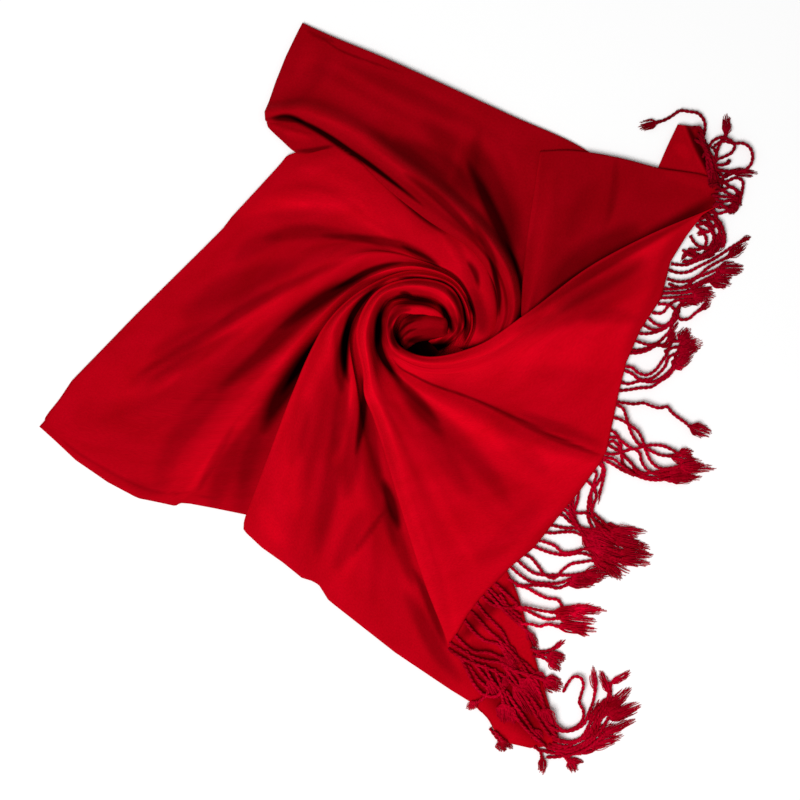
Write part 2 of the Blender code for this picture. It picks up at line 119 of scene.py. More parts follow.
FRONT_HEADINGS = (SOUTH_WEST, WEST, NORTH_WEST, NORTH, NORTH_EAST, EAST, SOUTH_EAST)
FRONT_STRETCH = (
    Fold("upper edge and lip", "716,207 650,236 590,268 524,317 474,349 414,356",
         "25 22 19 13.5 18 33.5 22", "6.5 9 15 26 28.5 28 25 24 24 24 22 12 8"),
    Fold("crest along the edge", "704,214 648,246 590,282 526,328 476,357 414,361",
         "31 27 27 21 25 34.3 22.6", "8 12 20 31 33 32 30 30 30 29 27 13 8"),
    Fold("trough by the edge", "672,262 630,284 580,305 526,338 477,362 413,364.5",
         "33 28.5 29 23 27 34.9 23.1", "5 7 14 26 30 30 28 27 27 26 24 13 8"),
    Fold("broad crest", "640,330 602,336 560,342 518,350 474,368 412,368",
         "35 30 31 25 29 35.4 23.6", "6 10 16 25 30 30 26 24 24 23 21 13 8"),
    Fold("trough above the seam fold", "617,395 582,398 542,394 500,386 460,378 411,371",
         "36.5 31 32.5 26.5 30 35.8 24", "4 6.5 11 18 24 28 24 22 22 21 19 13 8"),
    Fold("seam fold", "606,452 560,440 515,421 480,404 445,389 409,374",
         "38 32 33.5 27.5 31 36.2 24.4", "4 5.5 9 14 20 26 22 20 20 19 17 13 8"),
    Fold("ridge", "597,465 552,455 507,438 470,419 435,401 402,378",
         "42 33.3 34.5 28.5 32 36.6 24.8", "7 10 14 19 25 29 23 17 17 17 15 12 8"),
    Fold("valley", "562,513 520,490 478,460 444,432 416,404 395,381",
         "47.5 35.5 36.5 30 33.5 37.2 25.5", "6.5 7 8 11 14 17 14 12 12 12 11 11 8"),
    Fold("broad face", "512,565 482,520 452,478 427,443 404,411 388,386",
         "52 39 39 33 37 38.7 27.2", "7 9 11 13 16 19 18 18 18 18 17 15 9"),
    Fold("beside the left crest", "478,600 452,545 428,492 409,448 392,413 380,389",
         "56 43 41.5 36 40.5 40.5 29.2", "7.5 10 13 17 21 24 25 26 26 26 25 21 12"),
    Fold("left crest", "460,626 436,567 415,505 398,452 383,412 373,388",
         "62 47 44 39.5 44 43 31.5", "8.5 12 17 22 26 28 30 32 32 31 29 25 14"),
    Fold("left edge", "450,642 427,585 406,520 389,462 375,416 366,392",
         "69 55 49 45.5 51 47.5 35", "6.8 8.5 11 14 17 20 21 22 22 22 21 18 10"),
)

BACK_STRETCH = (
    Fold("top edge", "302,25 331,38 382,59 440,85 510,117 584,151 626,182 598,250 544,318",
         "", "3.6 5 6 6 5 3.6 3.4 3.4 5"),
    Fold("upper face", "287,54 326,58 376,78 432,106 492,141 550,187 576,225 562,270 534,324",
         "", "4 6 7 7 7 4.6 4.4 4.4 6"),
    Fold("lower face", "277,80 317,81 364,98 420,130 474,168 518,214 537,256 535,298 524,334",
         "", "4.5 6.5 8 8 8 5.6 6.5 8 8"),
    Fold("trough", "270,102 308,97 353,114 405,151 458,191 500,238 519,276 523,308 512,338",
         "", "4.5 5 6 6.5 7 8 10 11 12"),
    Fold("roll's crest", "265,114 303,111 346,129 396,165 447,203 491,245 509,279 513,309 502,344",
         "", "9 11 13 16 19 23 26 25 18"),
    Fold("roll's edge", "266,121 300,121 340,140 390,173 440,211 483,250 502,281 507.5,312 495,347",
         "", "7 7.4 9 12 15 18 20 20 16"),
    Fold("second roll", "266.6,122 300.6,122 341,142 388,180 433,215 480,253 499,284 503.5,314 491,348",
         "", "6.6 7.2 8.8 12.6 16 20 22.5 22 17"),
    Fold("second roll's edge", "267.2,123 301.2,123 342,144 385,186 426,219 "
         "477,256 495,287 498,316 486,349",
         "", "6.4 7 8.6 12 15 18.4 19.5 18.5 15"),
)

UPPER_RIGHT_STRETCH = (
    Fold("left edge", "541,152 534,198 527,245 523,288 521,317", "", "7.2 9 11 14.5 18"),
    Fold("left crest", "566,151 554,197 542,243 532,290 524,322", "", "7.2 10 14 18 20"),
    Fold("face", "612,157 587,205 562,252 541,297 527,327", "", "6.5 8 11 15 17"),
    Fold("lower face", "655,168 618,214 581,259 550,302 530,331", "", "6.5 7.5 9 12 15"),
    Fold("tip", "718,188 656,226 597,266 556,305 532,334", "", "6 6 7.5 11 13"),
    Fold("under the front", "714,212 657,248 600,282 560,312 535,339", "", "3.6 4.6 6.4 9.5 11"),
)

TURNED_CORNER = (
    Fold("left side", "678,125 668,146 656,174", "", "4.2 4 3.4"),
    Fold("crease", "681,125.5 687,148 692,184", "", "5.4 4.8 3.4"),
    Fold("right side", "699,127 706,152 716,186", "", "4.2 4 3.4"),
)

BACK_LIP = (
    Fold("tucked under the roll", "267,120 285,117 309,123 340,138 364,154", "", "3.4 3.4 3.6 4 3.4"),
    Fold("middle", "267,124 284,129 306,136 337,142 364,156", "", "4 5 6 4.6 3.4"),
    Fold("free edge", "268,127 281,139 298,153 330,149 362,158", "", "3.4 4.2 6.2 4.2 3"),
)

ROSETTE_CORE = (
    Fold("upper edge", "398,338 403,323 420,313 440,313", "", "10 13 14 12"),
    Fold("crest", "401,344 410,329 427,323 447,322", "", "13 21 25 21"),
    Fold("lower edge", "404,349 416,341 431,338 447,334", "", "9 12 12 12"),
)

HIDDEN_OUTLINE = """
303,35 344,52 440,92 520,128 588,160 650,176 702,190 700,206 660,262 630,330 608,392 596,452 552,514
508,566 528,652 548,733 502,728 455,682 392,640 325,584 264,534 249,508 200,496 120,476 54,426 88,374
170,292 240,219 290,164 303,146 287,112 288,68
"""

# A crease: a soft ridge (height above 0) or trough (below 0) along its places, then
# how wide it is to each side of them and its height. It fades out towards its ends.
LEFT_CREASES = """
44,424 82,455 108,470 140,487 165,493 190,493 215,499 243,506 | 2 -0.4
300,166 340,178 372,200 | 9.8 0.7
296,182 332,190 366,213 | 8.4 -0.8
270,215 330,214 384,240 | 11.2 -1.2
455,240 466,260 475,285 | 5.6 -1.2
436,226 450,248 462,272 | 5.6 0.8
118,398 168,372 222,330 | 12.6 1
150,350 205,318 262,280 | 11.2 -0.9
190,300 250,272 306,250 | 9.8 0.8
98,420 150,400 205,366 | 9.8 -0.8
140,440 190,412 236,372 | 8.4 0.7
172,470 208,432 250,384 | 8.4 -0.8
330,226 362,236 392,250 | 5.6 -0.8
324,262 352,246 384,240 | 7 0.8
"""
LOWER_CREASES = """
298,560 316,500 328,440 | 9.8 0.8
318,566 332,506 340,452 | 8.4 -0.9
276,520 296,462 312,412 | 8.4 -0.6
345,590 362,520 364,462 | 11.2 0.8
385,510 360,552 330,590 | 9.8 1
372,612 380,560 376,500 | 9.8 -0.9
420,640 410,590 398,540 | 9.8 0.8
470,690 462,640 446,600 | 8.4 -0.7
510,722 506,680 492,640 | 9.8 0.7
"""
FRONT_CREASES = """
690,226 640,252 590,292 | 11.2 0.8
664,268 610,300 552,326 | 11.2 -0.8
640,312 590,326 530,342 | 12.6 0.7
622,372 570,374 516,368 | 12.6 -0.8
560,490 505,466 452,430 | 11.2 0.7
520,540 486,500 446,448 | 12.6 -0.8
480,570 452,520 424,462 | 9.8 0.7
400,486 388,452 380,420 | 7 -1
414,530 402,494 394,462 | 7 0.8
"""
BACK_CREASES = """
463,140 456,162 450,185 | 8.4 0.9
380,130 404,148 428,168 | 12.6 -1
340,70 400,100 452,128 | 12.6 0.8
312,62 366,90 410,118 | 11.2 -0.7
500,140 516,190 524,240 | 9.8 -0.9
532,150 536,200 528,260 | 8.4 0.7
"""
UPPER_RIGHT_CREASES = """
616,160 612,200 600,245 | 7 -0.6
640,172 618,214 588,256 | 9.8 0.7
560,165 556,205 546,250 | 8.4 -0.6
"""
LIP_CREASES = """
270,124 290,132 316,138 | 5 0.8
"""
CORE_CREASES = """
403,338 406,326 418,319 440,319 | 4 1.8
406,338 414,328 428,325 446,327 | 4 -1.6
"""
CORNER_CREASES = """
682,122 697,153 713,186 | 4.2 1
690,122 703,153 717,184 | 5.6 -1.2
"""

# A gap: a place between folds that less light reaches (depth above 0, 1 none at all),
# or a fold's face that gleams (below 0): its places, its width and its depth.
LEFT_GAPS = """
468,260 475,274 478,290 | 5 0.45
462,268 470,290 478,320 480,344 | 12 0.2
150,356 196,334 236,318 | 12 0.2
474,300 481,320 482,338 | 10 0.2
262,428 250,456 242,490 | 12 0.2
222,328 244,308 272,292 | 15 0.2
136,376 176,354 213,332 242,312 278,292 310,276 344,262 | 9 0.4
142,396 158,386 182,372 | 9 -0.15
236,424 213,463 198,492 | 6 0.3
234,262 254,246 284,236 | 14 0.2
126,478 150,490 176,478 | 10 0.15
266,120 287,117.5 307,125 330,138 350,152 366,163 386,178 404,192 424,208 | 6 0.95
366,166 384,182 402,198 420,216 | 3 0.8
296,153 312,151 330,144 | 3 0.5
364,166 384,182 404,201 424,219 446,236 | 6 0.75
320,236 352,238 382,242 404,247 424,256 440,266 | 7 0.6
400,246 412,252 426,259 440,268 | 4 0.8
404,263 386,266 366,273 346,284 330,292 | 5 0.8
380,272 350,284 322,300 296,320 272,344 246,368 216,392 | 14 0.6
370,276 338,290 310,308 280,330 | 9 0.6
246,330 205,352 170,372 140,396 | 12 0.3
262,240 300,232 345,236 | 12 0.35
180,318 235,286 300,262 | 20 0.3
130,388 165,366 205,340 | 16 0.2
384,283 372,292 360,304 349,316 336,328 322,340 | 3 0.85
338,318 320,339 306,358 292,378 280,396 | 8 0.96
326,332 306,358 290,382 275,406 262,434 | 16 0.85
300,372 278,406 260,440 246,480 240,520 | 22 0.3
250,350 226,378 202,408 176,444 156,486 | 20 0.25
240,430 226,466 212,510 | 16 0.25
452,288 462,298 470,308 474,317 | 4.5 0.9
458,304 463,316 466,328 465,338 | 5 0.95
400,279 412,279 428,281 442,284 456,292 466,303 | 3 0.7
360,282 382,272 404,268 424,270 | 5 -0.3
476,240 486,258 494,280 498,300 498,322 | 6 0.9
470,288 479,310 484,336 | 13 0.3
466,262 474,274 478,286 | 4 0.6
520,326 505,336 490,343 472,349 450,353 420,356 | 5 0.85
262,402 236,432 206,468 182,500 | 8 -0.22
330,314 306,338 276,366 250,392 | 6 -0.15
44,424 82,455 108,470 140,487 165,493 190,493 215,499 243,506 | 1.6 0.2
300,288 256,312 206,338 150,372 | 9 -0.2
258,200 300,200 352,206 392,226 | 14 -0.15
236,216 270,206 312,206 | 10 -0.15
"""
LIP_GAPS = """
266,120 287,117.5 307,125 330,138 350,152 366,163 386,178 404,192 424,208 | 6 0.95
284,134 298,138 312,141 | 7 -0.15
294,152 312,151 334,146 | 4 0.6
"""
LOWER_GAPS = """
464,316 467,330 465,344 | 7 0.75
382,478 389,496 394,512 400,530 | 9 0.8
360,444 362,472 366,500 | 9 0.15
298,440 300,476 296,520 | 9 -0.15
364,508 350,540 334,570 | 14 0.25
306,396 300,430 292,466 | 14 0.2
388,281 374,291 361,304 352,318 347,334 345,352 346,370 349,384 | 6.5 0.97
348,330 343,350 341,372 342,394 | 10 0.6
345,376 342,402 338,430 334,456 | 12 0.35
360,374 364,392 363,412 360,434 356,456 | 6 0.85
360,390 358,424 352,456 346,500 | 16 0.4
366,390 370,426 375,458 382,494 | 9 0.4
366,440 375,476 384,508 396,546 | 13 0.3
330,360 320,400 310,440 300,500 | 17 0.25
342,424 340,444 336,468 | 10 -0.25
352,316 346,336 344,356 345,380 | 7 0.9
404,590 424,626 440,655 462,682 | 13 0.4
446,290 455,299 461,312 464,328 | 5 0.7
384,500 394,528 403,554 414,586 | 11 0.4
412,566 424,590 436,620 447,648 | 7 0.6
386,508 378,520 366,536 352,556 | 5 0.4
340,420 332,480 316,556 | 14 0.3
312,340 300,372 286,410 272,450 | 9 -0.22
262,500 268,520 290,550 | 12 -0.12
352,376 351,392 350,410 | 3 -0.3
450,286 458,300 463,316 466,332 | 5 0.95
396,279 412,279 428,281 444,284 456,292 | 3.5 0.8
500,338 484,345 462,351 436,355 410,357 | 6 0.9
456,640 466,632 474,622 484,612 498,598 512,582 | 12 0.55
474,664 500,692 524,718 546,742 | 24 0.5
470,640 494,664 520,690 | 16 0.35
"""
FRONT_GAPS = """
450,316 456,330 450,342 | 7 0.4
436,342 446,341 454,337 | 4 0.5
392,300 386,308 384,320 | 5 0.4
384,336 388,350 400,358 | 6 0.2
404,284 426,284 444,292 456,306 | 8 0.3
510,336 532,328 556,318 | 12 0.15
406,398 424,424 444,456 470,500 | 16 0.25
640,268 600,288 556,308 516,332 | 14 0.25
540,500 505,540 472,566 | 18 0.15
646,260 608,276 580,293 552,312 | 17 0.4
494,424 520,448 548,474 | 16 0.18
399,277 405,277 413,279 | 3 0.95
384,303 393,300 403,297 414,299 428,302 440,307 | 4.5 0.85
399,294 405,294 412,296 | 3 0.7
438,304 443,310 447,319 450,327 453,334 | 6 0.97
394,302 385,307 380,318 379,332 379,346 383,358 391,370 403,385 | 7.5 0.97
382,358 394,376 408,390 424,406 440,424 | 7 0.5
396,376 412,396 436,420 462,446 492,480 512,512 | 17 0.25
396,380 408,394 424,412 444,436 | 12 0.35
380,312 378,330 378,348 | 5 0.9
446,290 455,299 461,312 464,328 | 5 0.7
391,357 400,368 414,376 430,384 450,391 474,399 500,410 | 2.2 0.6
474,399 500,411 530,427 560,441 600,456 | 5 0.45
516,412 548,424 580,436 604,446 | 9 0.3
462,306 465,318 467,330 464,338 | 3.5 0.9
400,286 420,288 440,295 452,308 458,324 | 4 -0.2
392,312 404,306 420,304 434,310 | 7 0.35
388,330 392,320 400,313 412,310 | 4 0.55
398,322 393,332 394,344 400,351 | 4 0.7
388,348 386,328 391,313 404,304 420,304 434,310 | 7 0.5
394,328 400,341 410,347 424,349 440,347 456,342 | 10 1
394,328 400,341 410,347 424,349 440,347 456,342 | 9 1
446,300 454,314 459,330 456,342 444,348 | 4 0.45
518,322 550,300 590,274 640,246 690,220 | 8 0.5
700,212 680,236 668,262 660,294 640,328 622,366 | 16 0.28
640,320 610,316 580,320 | 12 0.25
614,300 590,310 560,325 | 10 0.15
600,462 568,508 530,550 486,592 | 12 0.2
500,360 550,348 590,360 | 30 -0.05
372,396 386,436 400,476 418,526 440,590 452,634 | 12 0.2
452,393 480,403 510,416 545,432 580,447 603,456 | 2.2 0.4
398,308 412,303 428,304 440,311 447,322 | 8 0.55
385,292 400,286 420,287 440,294 | 7 0.12
"""
BACK_GAPS = """
470,222 484,244 493,266 497,290 | 6 0.55
392,138 420,153 450,172 478,200 | 17 0.4
524,300 521,314 515,328 | 7 0.6
284,112 310,82 330,56 | 16 0.15
466,160 484,196 500,230 511,256 517,276 | 10 0.8
504,240 515,264 521,286 522,306 517,328 | 4 0.9
470,140 490,182 506,220 516,252 | 20 0.5
420,120 448,146 470,176 490,208 | 20 0.3
366,128 400,150 436,178 464,208 | 12 0.25
266,120 287,117.5 307,125 330,138 350,152 366,163 386,178 404,192 424,208 | 4.5 0.95
272,120 288,119 306,124 | 6 0.8
318,36 340,51 368,62 400,73 | 1.8 0.4
306,30 318,37 336,43 | 4 0.3
488,258 494,276 498,296 498,318 | 4 0.85
522,324 505,336 488,344 | 6 0.8
340,62 400,92 460,122 | 12 0.15
310,116 352,131 392,156 | 5 -0.15
404,174 440,202 464,226 484,248 | 7 0.6
495,262 506,284 510,306 | 4 -0.2
463,134 456,160 448,188 | 7 -0.12
480,128 474,156 470,186 | 9 0.2
310,40 306,70 290,100 | 14 -0.1
"""
UPPER_RIGHT_GAPS = """
722,194 684,220 640,246 596,270 556,294 | 15 0.75
640,226 600,250 568,272 544,296 | 22 0.4
600,262 560,288 520,322 | 5 0.6
616,156 614,190 606,226 | 6 0.2
548,170 544,220 536,290 | 14 -0.12
600,176 580,212 568,240 | 16 0.12
600,164 590,206 570,250 | 12 -0.08
540,154 534,200 526,250 | 4 -0.2
660,172 690,182 712,190 | 8 -0.15
"""
CORNER_GAPS = """
684,120 694,142 706,166 716,188 | 6 0.75
696,126 706,150 714,180 | 9 0.75
656,170 684,176 712,184 | 6 0.6
672,146 680,150 690,160 | 9 -0.15
"""
CORE_GAPS = """
447,316 448,326 444,336 | 6 0.5
398,334 405,326 416,321 | 2.2 0.7
400,341 407,333 418,329 | 2.2 0.65
406,345 413,339 424,336 | 2.2 0.5
420,326 432,325 444,328 | 5 -0.15
396,316 414,313 432,312 | 7 0.6
404,318 414,320 424,319 | 4 0.35
396,322 396,336 404,344 | 6 0.8
404,340 424,342 446,340 | 6 0.8
448,314 451,326 450,338 | 5 0.8
"""
HOLLOW_GAPS = """
392,330 404,342 424,346 444,344 | 40 0.97
392,330 404,342 424,346 444,344 | 60 0.8
"""

# Where a stretch's rim runs between its folds: the fold's number, counted on from
# one fold to the next, and the place on the board.
LEFT_RIM = """
0,300,151 0.4,287,156 0.7,279,166 1,268,178 1.6,247,201 2,232,217 2.3,223,229 3,200,252 4,136,315
5,72,381 5.4,60,399 5.7,45.5,417 5.75,45.8,420 6,39.8,426.5 6.25,56,441 6.5,76,460 6.75,92,471
7,108,482 7.4,138,498 7.75,158,502 8,174,505.5 8.1,178,505.2 8.17,180,502.8 8.4,190,503.5 9,214,508
10,253,516
"""
LOWER_RIM = """
0,244,524 0.3,243.8,529 0.5,247,533 1,262,547 1.5,283,562 2,302,577.5 2.2,312,580.5 2.35,319,584.5
2.6,325,594 2.8,328,599 3,334,604 4,395,652 5,450,689 5.5,476,705 5.75,490,720 5.9,496,735 6,502,741
6.5,530,747.5 6.8,545,746 7,560,741
"""
FRONT_RIM = """
0,717,206 0.5,710,210 1,702,215 1.5,686,236 2,670,262 2.5,661,298 3,640,330 3.5,626,362 4,618,395
4.5,612,424 5,606,452 6,598,465 6.5,580,490 7,560,514 7.5,534,547 8,512,565 8.5,495,582 9,479,598
9.5,467,614 10,458,630 11,449,643
"""
BACK_RIM = """
0,302,24.5 0.3,297,34 1,286,57 2,276,82 3,269.5,101 4,265,113 5,265.5,121 7,267.2,123
"""

# A stretch: the solid it stands for, its table, and how finely it is read (steps
# in each interval across and along), how far its first and last folds roll under
# (radius, 0 for a plain edge), its cloth's tone (painted shade and sheen: the whole
# stretch's colour drawn darker or lighter for how its satin catches the light), how
# high its chance rumples are, its marks, and the flat size and area, in metres, of the
# cloth that shows, how that is held and what it lies on.
Stretch = namedtuple("Stretch", "node folds headings across along rolls tone rumple creases gaps rim"
                     " flat area held rests_on")
STRETCHES = (
    Stretch("back_stretch", BACK_STRETCH, (), 14, 18, (1.6, 1.4), 0.45, 0.4,
            BACK_CREASES, BACK_GAPS, BACK_RIM,
            (0.18, 0.52), 0.049, "folded", ("hidden_layers_satin",)),
    Stretch("back_lip", BACK_LIP, (), 10, 12, (0, 0.9), 0.46, 0.2,
            LIP_CREASES, LIP_GAPS, "",
            (0.032, 0.106), 0.002, "folded", ("hidden_layers_satin", "left_stretch_satin")),
    Stretch("left_stretch", LEFT_STRETCH, LEFT_HEADINGS, 14, 24, (0, 0), 0.65, 0.4,
            LEFT_CREASES, LEFT_GAPS, LEFT_RIM,
            (0.55, 0.45), 0.085, "gathered", ("hidden_layers_satin",)),
    Stretch("lower_stretch", LOWER_STRETCH, LOWER_HEADINGS, 16, 20, (2.0, 0), 0.73, 0.4,
            LOWER_CREASES, LOWER_GAPS, LOWER_RIM,
            (0.40, 0.51), 0.065, "gathered", ("hidden_layers_satin", "left_stretch_satin")),
    Stretch("front_stretch", FRONT_STRETCH, FRONT_HEADINGS, 12, 18, (1.8, 2.2), 0.86, 0.35,
            FRONT_CREASES, FRONT_GAPS, FRONT_RIM,
            (0.50, 0.44), 0.071, "gathered", ("lower_stretch_satin", "upper_right_stretch_satin")),
    Stretch("upper_right_stretch", UPPER_RIGHT_STRETCH, (), 16, 30, (1.6, 0), 0.42, 0.35,
            UPPER_RIGHT_CREASES, UPPER_RIGHT_GAPS, "",
            (0.21, 0.20), 0.021, "laid", ("back_stretch_satin", "hidden_layers_satin")),
    Stretch("turned_corner", TURNED_CORNER, (), 16, 20, (0.8, 0.8), 0.5, 0.3,
            CORNER_CREASES, CORNER_GAPS, "",
            (0.061, 0.060), 0.0023, "folded", ("hidden_layers_satin",)),
    Stretch("rosette_core", ROSETTE_CORE, (), 14, 14, (2.0, 2.0), 0.32, 0.2,
            CORE_CREASES, CORE_GAPS, "",
            (0.037, 0.059), 0.0017, "gathered", ("hidden_layers_satin", "front_stretch_satin")),
)
